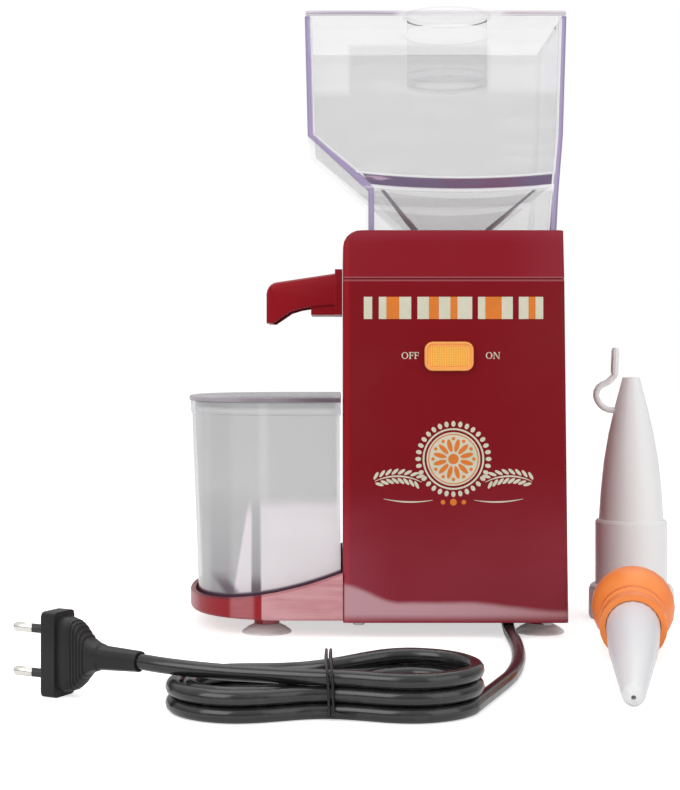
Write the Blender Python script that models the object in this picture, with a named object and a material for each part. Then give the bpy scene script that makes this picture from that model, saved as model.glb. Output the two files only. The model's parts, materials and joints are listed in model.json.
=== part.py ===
"""Nut butter machine with its cup, oil nozzle and dropper.

Sizes are in millimetres and become metres where a mesh is made.
X runs from the cup to the housing, Y from the label side to the back, Z up from the floor.
"""

import math

import bmesh
import bpy
import numpy as np
from mathutils import Matrix, Vector

MM = 0.001

# Fits
GAP = 0.3  # between parts that rest on each other
SLIDE_GAP = 0.6  # between a part that lifts out and its seat
RUN_GAP = 0.1  # between a shaft and its bush, on the radius

# Housing
HOUSING_LEFT = 1.5
HOUSING_WIDTH = 113.0
HOUSING_DEPTH = 134.0
HOUSING_BOTTOM = 8.0
SEAM_Z = 180.0
HOUSING_DRAFT = 2.0
COVER_DRAFT = 0.6
HOUSING_WALL = 2.6
HOUSING_EDGE_R = 2.2
COVER_HEIGHT = 24.5
COVER_CORNER_R = 8.5
COVER_TOP_WALL = 2.4
COVER_EDGE = 1.0
COVER_LIP = 6.0
COVER_LIP_WALL = 1.8
WELL_FLOOR_Z = 193.5
WELL_FLOOR_WALL = 2.2
WELL_WALL = 1.8
BOSS_R = 4.0
SHELF_WIDTH = 5.0
SHELF_HEIGHT = 3.0
SHELF_LENGTH = 80.0

# Base
BASE_WALL = 2.4
FOOT_BOSS_R = 6.5
FOOT_R = 12.6
FOOT_RIM = 0.8
FOOT_HEIGHT = 4.6
FOOT_HOLLOW_R = 9.6
FOOT_HOLLOW_DEPTH = 1.4
FOOT_STUD_R = 2.6
FOOT_STUD_HEIGHT = 5.0
FOOT_Y = 46.0
HOUSING_FOOT_INSET = 12.1
TRAY_FOOT_X = -37.5
VENT_COUNT = 6
VENT_LENGTH = 44.0
VENT_WIDTH = 3.0
VENT_PITCH = 7.0
SCREW_R = 1.6
SCREW_HEAD_R = 3.2
SCREW_HEAD_HEIGHT = 1.8
SCREW_LENGTH = 14.0
SCREW_INSET = 8.0

# Hopper
HOPPER_TOP_Z = 314.4
HOPPER_TOP_LEFT = -18.0
HOPPER_TOP_RIGHT = 115.5
HOPPER_FLARE = 2.4  # how much deeper the top is than the neck
BIN_BEND_Z = 254.0
BIN_BEND_LEFT = -16.5
BIN_BEND_RIGHT = 113.8
BIN_BEND_FLARE = 0.8
NECK_TOP_Z = 228.0
NECK_LEFT = 14.5
NECK_RIGHT = 111.6
NECK_BOTTOM_RIGHT = 110.0
NECK_DEPTH = 105.6
SKIRT_TAPER = 0.6
HOPPER_WALL = 2.6
HOPPER_CORNER_R = 3.0
FUNNEL_TOP_DROP = 1.5
FUNNEL_MARGIN = 4.0
FUNNEL_RIGHT_LEDGE = 7.2
FUNNEL_WALL = 2.4
FUNNEL_SAG = 4.0
THROAT_SIZE = 25.0
THROAT_CORNER_R = 8.0
THROAT_BOTTOM_Z = 196.0
THROAT_LENGTH = 5.0

# Hopper lid
LID_PLATE = 2.3
LID_SKIRT = 6.0
LID_SKIRT_WALL = 1.8
PORT_OUTER_R = 21.65
PORT_WALL = 1.75
PORT_FLANGE_R = 23.75
PORT_FLANGE = 1.8
PORT_ABOVE = 9.0
PORT_BELOW = 27.7
PORT_LIP = 1.4
PORT_LIP_HEIGHT = 1.6

# Grinding set, all on one upright axis with the lid port and the funnel
GRINDER_X = 58.0
CHAMBER_R = 32.0
CHAMBER_BOTTOM_Z = 160.3
CHAMBER_FLOOR_Z = 165.0
CHAMBER_TOP_Z = 188.5
CHAMBER_CAVITY_R = 28.5
CHAMBER_NECK_R = 19.0
CHAMBER_BORE_R = 13.5
RING_TOP_Z = 187.0
RING_BOTTOM_Z = 174.6
RING_R = 25.0
TOOTH_COUNT = 12
TOOTH_STEPS = 3
TOOTH_DEPTH = 1.3
TOOTH_TWIST = 50.0
CONE_TOP_R = 10.6
CONE_BOTTOM_R = 20.0
CONE_BOTTOM_Z = 168.0
GRIND_GAP = 0.6
AUGER_TOP_Z = 207.0
AUGER_CORE_R = 4.4
AUGER_BLADE_R = 10.4
AUGER_TURNS = 1.5
SHAFT_R = 3.9
SHAFT_TOP_Z = 183.0
BUSH_WALL = 2.2
POST_R = 4.0
POST_CIRCLE_R = 34.0
CHUTE_WIDTH = 36.0
CHUTE_WALL = 2.0
CHUTE_TOP_Z = 176.5

# Gears and motor
MODULE = 1.25
GEAR_TEETH = 36
PINION_TEETH = 12
BACKLASH = 0.16
GEAR_BOTTOM_Z = 150.6
GEAR_FACE = 6.5
GEAR_HUB_R = 8.5
GEAR_HUB_HEIGHT = 1.6
PLATE_BOTTOM_Z = 145.7
PLATE_WALL = 3.3
PLATE_FRONT = -46.0
PLATE_BACK = 62.0
MOTOR_R = 27.0
MOTOR_WALL = 3.0
MOTOR_LENGTH = 56.0
MOTOR_END_WALL = 3.2
MOTOR_SHAFT_R = 3.0
MOTOR_SHAFT_BELOW = 14.0
BEARING_R = 7.0
ROTOR_GAP = 1.2
ROTOR_LENGTH = 34.0
COMMUTATOR_R = 8.5
FAN_R = 23.0
FAN_HUB_R = 7.0
FAN_HEIGHT = 8.0
FAN_BLADES = 9
FAN_BLADE_WIDTH = 1.6

# Spout
SPOUT_WIDTH = 46.0
SPOUT_REACH = 38.8
SPOUT_TIP_BOTTOM_Z = 158.9
SPOUT_TIP_FLAT = 3.6
SPOUT_FRONT_TOP_Z = 180.6
SPOUT_BACK_TOP_Z = 185.8
SPOUT_NOSE_R = 6.0
SPOUT_WALL = 2.2
SPOUT_EDGE = 3.2
SPOUT_EDGE_SHARE = 0.3
SPOUT_ARCH = ((26.4, 164.9), (20.8, 166.6), (12.0, 168.0))
COLLAR_TOP_Z = 187.2
COLLAR_BOTTOM_Z = 163.3
COLLAR_THICKNESS = 3.9
COLLAR_OVER = 2.2
SPOUT_FLOOR_REACH = 15.3

# Switch
BUTTON_LENGTH = 24.4
BUTTON_HEIGHT = 14.6
BUTTON_X = 54.4
BUTTON_Z = 141.35
BUTTON_CORNER_R = 4.0
BUTTON_DEPTH = 3.4
BUTTON_RIM = 1.1
BUTTON_RIM_DEPTH = 0.8
BUTTON_RIBS = 18
BUTTON_RIB_DEPTH = 0.5
BUTTON_TRAVEL = 4.0
STEM_LENGTH = 10.0
STEM_HEIGHT = 6.0
STEM_DEPTH = 7.0
SWITCH_LENGTH = 32.0
SWITCH_HEIGHT = 19.0
SWITCH_DEPTH = 16.0

# Tray and cup
TRAY_BEND_X = -20.0
TRAY_REACH = 60.0
TRAY_POWER = 2.5
TRAY_BOTTOM_Z = 9.0
TRAY_FLOOR = 2.2
TRAY_WALL = 2.5
TRAY_RIM_FRONT_Z = 18.3
TRAY_RIM_RISE = 14.7
TRAY_RIM_POWER = 2.2
CUP_TOP_Z = 118.0
CUP_WALL = 2.2
CUP_FLOOR = 2.4
CUP_DRAFT = 4.3
CUP_BACK_X = 0.5
CUP_RIM_HEIGHT = 6.5
CUP_RIM_STEP = 0.6
CUP_LID_PLATE = 2.4
CUP_LID_OVER = 0.7
CUP_LID_PLUG = 3.0
CUP_LID_PLUG_WALL = 1.8

# Mains lead
CORD_R = 3.25
CORD_INSET = 29.5
BOOT_WALL_Y = 10.0
BOOT_LENGTH = 24.0
BOOT_ROOT_R = 4.7
BOOT_TIP_R = 3.8
BOOT_FLANGE_R = 5.4
BOOT_FLANGE = 2.0
BOOT_Z = 16.2
POCKET_WIDTH = 19.0
POCKET_CEILING_Z = 23.0
POCKET_WALL = 1.8

# Hank of the lead, tied in its middle
HANK_X = -6.0
HANK_Y = -225.0
HANK_LENGTH = 128.0
HANK_WIDTH = 60.5
HANK_WAIST = 8.0
HANK_LAYERS = 3
TAIL_LENGTH = 11.4
TIE_WIDTH = 3.0
TIE_THICKNESS = 1.2

# Two-pin plug, 35.3 by 13.7 at its flange
PLUG_WIDTH = 35.3
PLUG_THICKNESS = 13.7
PLUG_FLANGE = 7.3
PLUG_BODY_LENGTH = 19.5
PLUG_FLANGE_CORNER_R = 1.8
PLUG_FACE_EDGE = 0.45
PLUG_BODY_THICKNESS = 10.4
PLUG_BODY_CORNER_R = 3.2
# How far along from the relief to the flange, and the body's share of the flange's width there
PLUG_BODY_SHAPE = ((0.03, 0.30), (0.16, 0.33), (0.30, 0.42), (0.43, 0.57), (0.53, 0.71),
                   (0.66, 0.82), (0.80, 0.865), (1.0, 0.88))
PLUG_GRIPS = 6
PLUG_GRIP_START = 0.26
PLUG_GRIP_END = 0.74
PLUG_GRIP_DEPTH = 0.35
PLUG_RELIEF_LENGTH = 18.7
PLUG_RELIEF_R = 5.0
PLUG_RELIEF_END_R = 4.2
PIN_R = 2.0
PIN_LENGTH = 19.0
PIN_SPACING = 18.6
PIN_SLEEVE_R = 1.9
PIN_SLEEVE_LENGTH = 10.0
PLUG_REAR_X = -81.0
PLUG_REAR_Y = -219.0
PLUG_TURN = 28.0

# Oil nozzle, standing on its collar
NOZZLE_X = 157.7
NOZZLE_Y = 0.0
NOZZLE_COLLAR_R = 22.75
NOZZLE_COLLAR_HEIGHT = 18.0
NOZZLE_GRIPS = 24
NOZZLE_GRIP_DEPTH = 0.6
NOZZLE_SHOULDER_R = 19.3
NOZZLE_SHOULDER_TOP = 53.0
NOZZLE_CONE_R = 17.35
NOZZLE_TIP_R = 4.5
NOZZLE_HEIGHT = 130.0
NOZZLE_WALL = 1.6
NOZZLE_BULGE = 2.6
STRAP_R = 1.7
STRAP_STOPPER_R = 2.1
STRAP_ROUTE = ((4.0, 113.5), (10.5, 112.2), (16.0, 114.5), (19.0, 120.0), (17.2, 125.0),
               (12.5, 127.5), (9.0, 131.0))
STRAP_STOPPER_LENGTH = 15.0

# Dropper, lying on its bulb and its tip
BULB_R = 20.0
BULB_WALL = 1.6
BULB_NECK_R = 14.0
BULB_RING_R = 16.0
BULB_RING_START = 38.0
BULB_RING_LENGTH = 8.0
BULB_CUFF_R = 15.6
BULB_CUFF_GROOVE = 1.5
BULB_LENGTH = 56.0
TUBE_START = 40.0
TUBE_R = 12.4
TUBE_WALL = 1.4
TUBE_TIP_R = 5.0
TUBE_HOLE_R = 1.0
DROPPER_LENGTH = 157.0
DROPPER_X = 142.0
DROPPER_Y = -92.0
DROPPER_TURN = 10.3

# Sides worked out from the sizes above
HALF_DEPTH = HOUSING_DEPTH / 2
HOUSING_RIGHT = HOUSING_LEFT + HOUSING_WIDTH
SEAM_RIGHT = HOUSING_RIGHT - HOUSING_DRAFT
HOUSING_FOOT_X = HOUSING_RIGHT - HOUSING_FOOT_INSET
CORD_X = HOUSING_RIGHT - CORD_INSET
COVER_TOP_Z = SEAM_Z + COVER_HEIGHT
INNER_LEFT = HOUSING_LEFT + HOUSING_WALL
INNER_HALF_DEPTH = HALF_DEPTH - HOUSING_WALL
SKIRT_BOTTOM_Z = WELL_FLOOR_Z + GAP
SKIRT_DEPTH = NECK_DEPTH - SKIRT_TAPER
BIN_BEND_DEPTH = NECK_DEPTH + BIN_BEND_FLARE
HOPPER_TOP_DEPTH = NECK_DEPTH + HOPPER_FLARE
LID_BOTTOM_Z = HOPPER_TOP_Z + GAP
LID_TOP_Z = LID_BOTTOM_Z + LID_PLATE
GEAR_CENTRES = MODULE * (GEAR_TEETH + PINION_TEETH) / 2
MOTOR_Y = GEAR_CENTRES
PLATE_TOP_Z = PLATE_BOTTOM_Z + PLATE_WALL
SHAFT_BOTTOM_Z = PLATE_BOTTOM_Z
MOTOR_TOP_Z = PLATE_BOTTOM_Z - GAP
MOTOR_BOTTOM_Z = MOTOR_TOP_Z - MOTOR_LENGTH
TRAY_FLOOR_Z = TRAY_BOTTOM_Z + TRAY_FLOOR
CUP_BOTTOM_Z = TRAY_FLOOR_Z + GAP
CUP_LID_Z = CUP_TOP_Z + GAP
BASE_TOP_Z = HOUSING_BOTTOM + BASE_WALL

# Colours of the parts, with roughness, metallic value and alpha
FINISHES = {
    "red_plastic": ((0.22, 0.012, 0.02), 0.25, 0.0, 1.0),
    "clear_plastic": ((0.75, 0.72, 0.82), 0.08, 0.0, 0.25),
    "yellow_plastic": ((0.98, 0.5, 0.06), 0.35, 0.0, 1.0),
    "milky_plastic": ((0.9, 0.9, 0.9), 0.35, 0.0, 0.6),
    "orange_rubber": ((0.95, 0.25, 0.04), 0.5, 0.0, 1.0),
    "foot_rubber": ((0.5, 0.42, 0.42), 0.6, 0.0, 1.0),
    "black_plastic": ((0.03, 0.03, 0.03), 0.5, 0.0, 1.0),
    "cord_rubber": ((0.045, 0.045, 0.045), 0.6, 0.0, 1.0),
    "steel": ((0.6, 0.6, 0.6), 0.35, 1.0, 1.0),
    "dark_steel": ((0.25, 0.25, 0.26), 0.4, 1.0, 1.0),
    "brass": ((0.7, 0.5, 0.25), 0.35, 1.0, 1.0),
    "nylon": ((0.8, 0.79, 0.74), 0.5, 0.0, 1.0),
}


# Making objects

def clear_scene():
    for item in list(bpy.data.objects):
        bpy.data.objects.remove(item, do_unlink=True)


def finish_material(node_name, finish):
    colour, roughness, metallic, alpha = FINISHES[finish]
    material = bpy.data.materials.new(node_name + "_" + finish)
    material.use_nodes = True
    shader = material.node_tree.nodes["Principled BSDF"]
    shader.inputs["Base Color"].default_value = (*colour, 1.0)
    shader.inputs["Roughness"].default_value = roughness
    shader.inputs["Metallic"].default_value = metallic
    shader.inputs["Alpha"].default_value = alpha
    material.diffuse_color = (*colour, alpha)
    return material


def add_object(name, data, root, origin, finish=None):
    item = bpy.data.objects.new(name, data)
    bpy.context.scene.collection.objects.link(item)
    item.parent = root
    item.location = Vector(origin) * MM
    if finish:
        item.data.materials.append(finish_material(name, finish))
    return item


def make(name, shape, finish, root, origin=(0.0, 0.0, 0.0)):
    """One part from a bmesh in millimetres, with its origin where the part turns or slides."""
    bmesh.ops.remove_doubles(shape, verts=shape.verts, dist=0.0005)
    bmesh.ops.recalc_face_normals(shape, faces=shape.faces)
    bmesh.ops.translate(shape, verts=shape.verts, vec=-Vector(origin))
    bmesh.ops.scale(shape, verts=shape.verts, vec=(MM, MM, MM))
    mesh = bpy.data.meshes.new(name)
    shape.to_mesh(mesh)
    shape.free()
    mesh.shade_smooth()
    mesh.set_sharp_from_angle(angle=math.radians(35))
    return add_object(name, mesh, root, origin, finish)


def make_tool(name, shape, root):
    """A shape that only cuts or joins another part."""
    tool = make(name, shape, None, root)
    tool.hide_render = True
    tool.display_type = "WIRE"
    return tool


def combine(part, shape, operation, root):
    count = len(part.modifiers)
    tool = make_tool(f"{part.name}_{operation.lower()}_{count}", shape, root)
    step = part.modifiers.new(operation.title(), "BOOLEAN")
    step.operation = operation
    step.solver = "EXACT"
    step.object = tool


def cut(part, shape, root):
    combine(part, shape, "DIFFERENCE", root)


def join(part, shape, root):
    combine(part, shape, "UNION", root)


# Outlines and solids, in millimetres

def arc(centre, radius, start, end, steps):
    """Points of an arc, angles in degrees."""
    turns = [math.radians(start + (end - start) * k / steps) for k in range(steps + 1)]
    return [(centre[0] + radius * math.cos(a), centre[1] + radius * math.sin(a)) for a in turns]


def circle(centre, radius, steps):
    return arc(centre, radius, 0, 360, steps)[:-1]


def rounded_rectangle(left, right, front, back, radius, steps=3):
    return (
        arc((right - radius, front + radius), radius, -90, 0, steps)
        + arc((right - radius, back - radius), radius, 0, 90, steps)
        + arc((left + radius, back - radius), radius, 90, 180, steps)
        + arc((left + radius, front + radius), radius, 180, 270, steps)
    )


def at_height(outline, height):
    return [(x, y, height) for x, y in outline]


def facing_y(outline, y):
    """An outline drawn in X and Z, placed at a depth."""
    return [(x, y, z) for x, z in outline]


def loft(rings, ring_shaped=False):
    """A skin over rings of equal counts, closed by end faces or back onto its first ring."""
    shape = bmesh.new()
    rows = [[shape.verts.new(point) for point in ring] for ring in rings]
    nexts = rows[1:] + (rows[:1] if ring_shaped else [])
    for row, other in zip(rows, nexts):
        for k in range(len(row)):
            after = (k + 1) % len(row)
            shape.faces.new((row[k], row[after], other[after], other[k]))
    if not ring_shaped:
        shape.faces.new(rows[0])
        shape.faces.new(rows[-1])
    return shape


def prism(outline, bottom, top):
    return loft([at_height(outline, bottom), at_height(outline, top)])


def prism_along_y(outline, front, back):
    return loft([facing_y(outline, front), facing_y(outline, back)])


def box(left, right, front, back, bottom, top):
    return prism([(left, front), (right, front), (right, back), (left, back)], bottom, top)


def merge(shapes):
    """Several apart shapes in one bmesh, for one cut or one union."""
    whole = bmesh.new()
    for shape in shapes:
        mesh = bpy.data.meshes.new("merged_shape")
        shape.to_mesh(mesh)
        shape.free()
        whole.from_mesh(mesh)
        bpy.data.meshes.remove(mesh)
    return whole


def revolve(profile, centre=(0.0, 0.0), steps=24):
    """A turned solid from radius and height pairs, round an upright axis."""
    shape = bmesh.new()
    verts = [shape.verts.new((radius, 0.0, height)) for radius, height in profile]
    on_axis = profile[0][0] == 0 and profile[-1][0] == 0
    pairs = list(zip(verts, verts[1:] + ([] if on_axis else verts[:1])))
    edges = [shape.edges.new(pair) for pair in pairs]
    bmesh.ops.spin(
        shape, geom=verts + edges, cent=(0, 0, 0), axis=(0, 0, 1),
        angle=math.tau, steps=steps, use_merge=True,
    )
    bmesh.ops.remove_doubles(shape, verts=shape.verts, dist=0.0005)
    bmesh.ops.dissolve_degenerate(shape, edges=shape.edges, dist=0.0005)
    bmesh.ops.translate(shape, verts=shape.verts, vec=(*centre, 0))
    return shape


def moved(shape, matrix):
    bmesh.ops.transform(shape, verts=shape.verts, matrix=matrix)
    return shape


def cylinder(centre, radius, bottom, top, steps=24):
    return prism(circle(centre, radius, steps), bottom, top)


def tube_curve(name, points, radius, finish, root, detail=2):
    """A round tube along points, as a curve with filled ends."""
    curve = bpy.data.curves.new(name, "CURVE")
    curve.dimensions = "3D"
    curve.bevel_depth = radius * MM
    curve.bevel_resolution = detail
    curve.use_fill_caps = True
    spline = curve.splines.new("POLY")
    spline.points.add(len(points) - 1)
    for target, point in zip(spline.points, points):
        target.co = (*(Vector(point) * MM), 1.0)
    return add_object(name, curve, root, (0, 0, 0), finish)


def smooth_route(points, spacing):
    """Even points on a smooth curve through a route's own points."""
    given = [Vector(point) for point in points]
    padded = [given[0] * 2 - given[1], *given, given[-1] * 2 - given[-2]]
    fine = []
    for a, b, c, d in zip(padded, padded[1:], padded[2:], padded[3:]):
        for step in range(20):
            t = step / 20
            fine.append(
                0.5 * (2 * b + (c - a) * t + (2 * a - 5 * b + 4 * c - d) * t * t
                       + (3 * b - a - 3 * c + d) * t ** 3)
            )
    fine.append(given[-1])
    far = np.array([tuple(point) for point in fine])
    along = np.concatenate([[0], np.cumsum(np.linalg.norm(np.diff(far, axis=0), axis=1))])
    count = max(2, round(along[-1] / spacing) + 1)
    places = np.linspace(0, along[-1], count)
    return [tuple(float(np.interp(s, along, far[:, k])) for k in range(3)) for s in places]


# Housing and base

def housing_outline(inset, right, radius):
    return rounded_rectangle(
        HOUSING_LEFT + inset, right - inset, -HALF_DEPTH + inset, HALF_DEPTH - inset, radius
    )


def boss_centres():
    """Places of the four screws that hold the base in the housing."""
    left = HOUSING_LEFT + SCREW_INSET
    right = SEAM_RIGHT - SCREW_INSET
    depth = HALF_DEPTH - SCREW_INSET
    return [(x, y) for x in (left, right) for y in (-depth, depth)]


def make_body_shell(root):
    inner_r = max(HOUSING_EDGE_R - HOUSING_WALL, 0.6)
    shape = loft(
        [
            at_height(housing_outline(0, HOUSING_RIGHT, HOUSING_EDGE_R), HOUSING_BOTTOM),
            at_height(housing_outline(0, SEAM_RIGHT, HOUSING_EDGE_R), SEAM_Z),
            at_height(housing_outline(HOUSING_WALL, SEAM_RIGHT, inner_r), SEAM_Z),
            at_height(housing_outline(HOUSING_WALL, HOUSING_RIGHT, inner_r), HOUSING_BOTTOM),
        ],
        ring_shaped=True,
    )
    shell = make("body_shell", shape, "red_plastic", root)
    boss_bottom = BASE_TOP_Z + GAP
    boss_top = boss_bottom + SCREW_LENGTH + 4
    into_wall = HOUSING_WALL / 2
    bosses = []
    for x, y in boss_centres():
        toward_wall = math.copysign(1, y)
        wall_y = toward_wall * (INNER_HALF_DEPTH + into_wall)
        near, far = sorted((y, wall_y))
        bosses.append(box(x - BOSS_R, x + BOSS_R, near - (BOSS_R if y > 0 else 0),
                          far + (BOSS_R if y < 0 else 0), boss_bottom, boss_top))
    join(shell, merge(bosses), root)
    shelf_top = PLATE_BOTTOM_Z - GAP
    shelves = [
        box(HOUSING_LEFT + into_wall, INNER_LEFT + SHELF_WIDTH, -SHELF_LENGTH / 2, SHELF_LENGTH / 2,
            shelf_top - SHELF_HEIGHT, shelf_top),
        box(SEAM_RIGHT - HOUSING_WALL - SHELF_WIDTH, SEAM_RIGHT - into_wall + HOUSING_DRAFT / 4,
            -SHELF_LENGTH / 2, SHELF_LENGTH / 2, shelf_top - SHELF_HEIGHT, shelf_top),
    ]
    join(shell, merge(shelves), root)
    window_half = CHUTE_WIDTH / 2 + GAP
    slot_left = BUTTON_X - STEM_LENGTH / 2 - SLIDE_GAP
    slot_right = BUTTON_X + STEM_LENGTH / 2 + BUTTON_TRAVEL + SLIDE_GAP
    slot_half = STEM_HEIGHT / 2 + SLIDE_GAP
    holes = [
        box(HOUSING_LEFT - 1, INNER_LEFT + 1, -window_half, window_half,
            CHAMBER_FLOOR_Z - CHUTE_WALL - GAP, CHUTE_TOP_Z + GAP),
        box(slot_left, slot_right, -HALF_DEPTH - 1, -INNER_HALF_DEPTH + 1,
            BUTTON_Z - slot_half, BUTTON_Z + slot_half),
    ]
    holes += [cylinder(c, SCREW_R + RUN_GAP, boss_bottom - 1, boss_bottom + SCREW_LENGTH, 12)
              for c in boss_centres()]
    cut(shell, merge(holes), root)
    return shell


def foot_centres():
    return [(x, y) for x in (TRAY_FOOT_X, HOUSING_FOOT_X) for y in (-FOOT_Y, FOOT_Y)]


def foot_seat_z(x):
    """Underside that a foot is pushed into: the tray's or the base plate's."""
    return TRAY_BOTTOM_Z if x < HOUSING_LEFT else HOUSING_BOTTOM


def foot_boss(centre):
    """Short stem under the tray or the base that a suction foot is pushed into."""
    seat = foot_seat_z(centre[0])
    return cylinder(centre, FOOT_BOSS_R, FOOT_HEIGHT + GAP, seat + 1.2)


def foot_bore(centre):
    return cylinder(centre, FOOT_STUD_R + RUN_GAP, FOOT_HEIGHT - 1,
                    FOOT_HEIGHT + FOOT_STUD_HEIGHT + GAP, 16)


def make_base_plate(root):
    clear = HOUSING_WALL + GAP
    outline = rounded_rectangle(
        HOUSING_LEFT + clear, HOUSING_RIGHT - clear - HOUSING_DRAFT * BASE_WALL / SEAM_Z,
        -HALF_DEPTH + clear, HALF_DEPTH - clear, 1.5
    )
    plate = make("base_plate", prism(outline, HOUSING_BOTTOM, BASE_TOP_Z), "red_plastic", root)
    right_feet = [c for c in foot_centres() if c[0] > HOUSING_LEFT]
    for centre in right_feet:
        join(plate, foot_boss(centre), root)
    outer = POCKET_WIDTH / 2 + POCKET_WALL
    front = -HALF_DEPTH + clear
    join(plate, box(CORD_X - outer, CORD_X + outer, front, BOOT_WALL_Y + POCKET_WALL,
                    HOUSING_BOTTOM + 0.4, POCKET_CEILING_Z + POCKET_WALL), root)
    half = POCKET_WIDTH / 2
    cut(plate, box(CORD_X - half, CORD_X + half, front - 1, BOOT_WALL_Y,
                   HOUSING_BOTTOM - 4, POCKET_CEILING_Z), root)
    vent_middle = (GRINDER_X, MOTOR_Y)
    first = vent_middle[0] - VENT_PITCH * (VENT_COUNT - 1) / 2 - GEAR_CENTRES / 3
    holes = [
        box(first + k * VENT_PITCH - VENT_WIDTH / 2, first + k * VENT_PITCH + VENT_WIDTH / 2,
            vent_middle[1] - VENT_LENGTH / 2, vent_middle[1] + VENT_LENGTH / 2,
            HOUSING_BOTTOM - 1, BASE_TOP_Z + 1)
        for k in range(VENT_COUNT)
    ]
    holes += [foot_bore(c) for c in right_feet]
    holes += [cylinder(c, SCREW_R + RUN_GAP, HOUSING_BOTTOM - 1, BASE_TOP_Z + 1, 12)
              for c in boss_centres()]
    shaft_hole = cylinder((CORD_X, 0), BOOT_ROOT_R + RUN_GAP, 0, POCKET_WALL + 2, 20)
    holes.append(moved(shaft_hole, boot_matrix(BOOT_WALL_Y + POCKET_WALL + 1)))
    cut(plate, merge(holes), root)
    return plate


def make_base_screws(root):
    profile = [
        (0, HOUSING_BOTTOM - SCREW_HEAD_HEIGHT - GAP),
        (SCREW_HEAD_R * 0.8, HOUSING_BOTTOM - SCREW_HEAD_HEIGHT - GAP),
        (SCREW_HEAD_R, HOUSING_BOTTOM - SCREW_HEAD_HEIGHT * 0.6),
        (SCREW_HEAD_R, HOUSING_BOTTOM - GAP),
        (SCREW_R, HOUSING_BOTTOM - GAP),
        (SCREW_R, BASE_TOP_Z + SCREW_LENGTH * 0.8),
        (0, BASE_TOP_Z + SCREW_LENGTH * 0.9),
    ]
    for k, centre in enumerate(boss_centres(), 1):
        make(f"base_screw_{k}", revolve(profile, centre, 8), "steel", root, (*centre, HOUSING_BOTTOM))


def make_feet(root):
    """Suction feet, each with a flat rim, a shallow hollow and a stud in its boss."""
    profile = [
        (0, FOOT_HOLLOW_DEPTH),
        (FOOT_HOLLOW_R * 0.55, FOOT_HOLLOW_DEPTH * 0.85),
        (FOOT_HOLLOW_R, 0),
        (FOOT_R, 0),
        (FOOT_R, FOOT_RIM),
        (FOOT_R * 0.78, FOOT_HEIGHT * 0.62),
        (FOOT_BOSS_R * 0.95, FOOT_HEIGHT),
        (FOOT_STUD_R, FOOT_HEIGHT),
        (FOOT_STUD_R, FOOT_HEIGHT + FOOT_STUD_HEIGHT - 1),
        (FOOT_STUD_R * 0.7, FOOT_HEIGHT + FOOT_STUD_HEIGHT - GAP),
        (0, FOOT_HEIGHT + FOOT_STUD_HEIGHT - GAP),
    ]
    names = ("tray_foot_front", "tray_foot_back", "housing_foot_front", "housing_foot_back")
    for name, centre in zip(names, foot_centres()):
        make(name, revolve(profile, centre, 18), "foot_rubber", root, (*centre, 0))


# Top cover

def cover_left(height):
    """The cover's left side, which rolls over into its top."""
    above = height - (COVER_TOP_Z - COVER_CORNER_R)
    if above <= 0:
        return HOUSING_LEFT
    return HOUSING_LEFT + COVER_CORNER_R - math.sqrt(max(COVER_CORNER_R ** 2 - above ** 2, 0))


def cover_ring(height, inset=0.0):
    part_way = (height - SEAM_Z) / COVER_HEIGHT
    right = SEAM_RIGHT - COVER_DRAFT * part_way - inset
    left = cover_left(height) + inset
    return at_height(
        rounded_rectangle(left, right, -HALF_DEPTH + inset, HALF_DEPTH - inset, HOUSING_EDGE_R),
        height,
    )


def well_walls(extra):
    """Sides of the cover's well, which the hopper's skirt drops into."""
    share = (COVER_TOP_Z - SKIRT_BOTTOM_Z) / (NECK_TOP_Z - SKIRT_BOTTOM_Z)
    skirt_right = NECK_BOTTOM_RIGHT + (NECK_RIGHT - NECK_BOTTOM_RIGHT) * share
    return (
        NECK_LEFT - extra, skirt_right + min(extra, GAP * 1.2),
        -NECK_DEPTH / 2 - extra, NECK_DEPTH / 2 + extra,
    )


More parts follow.
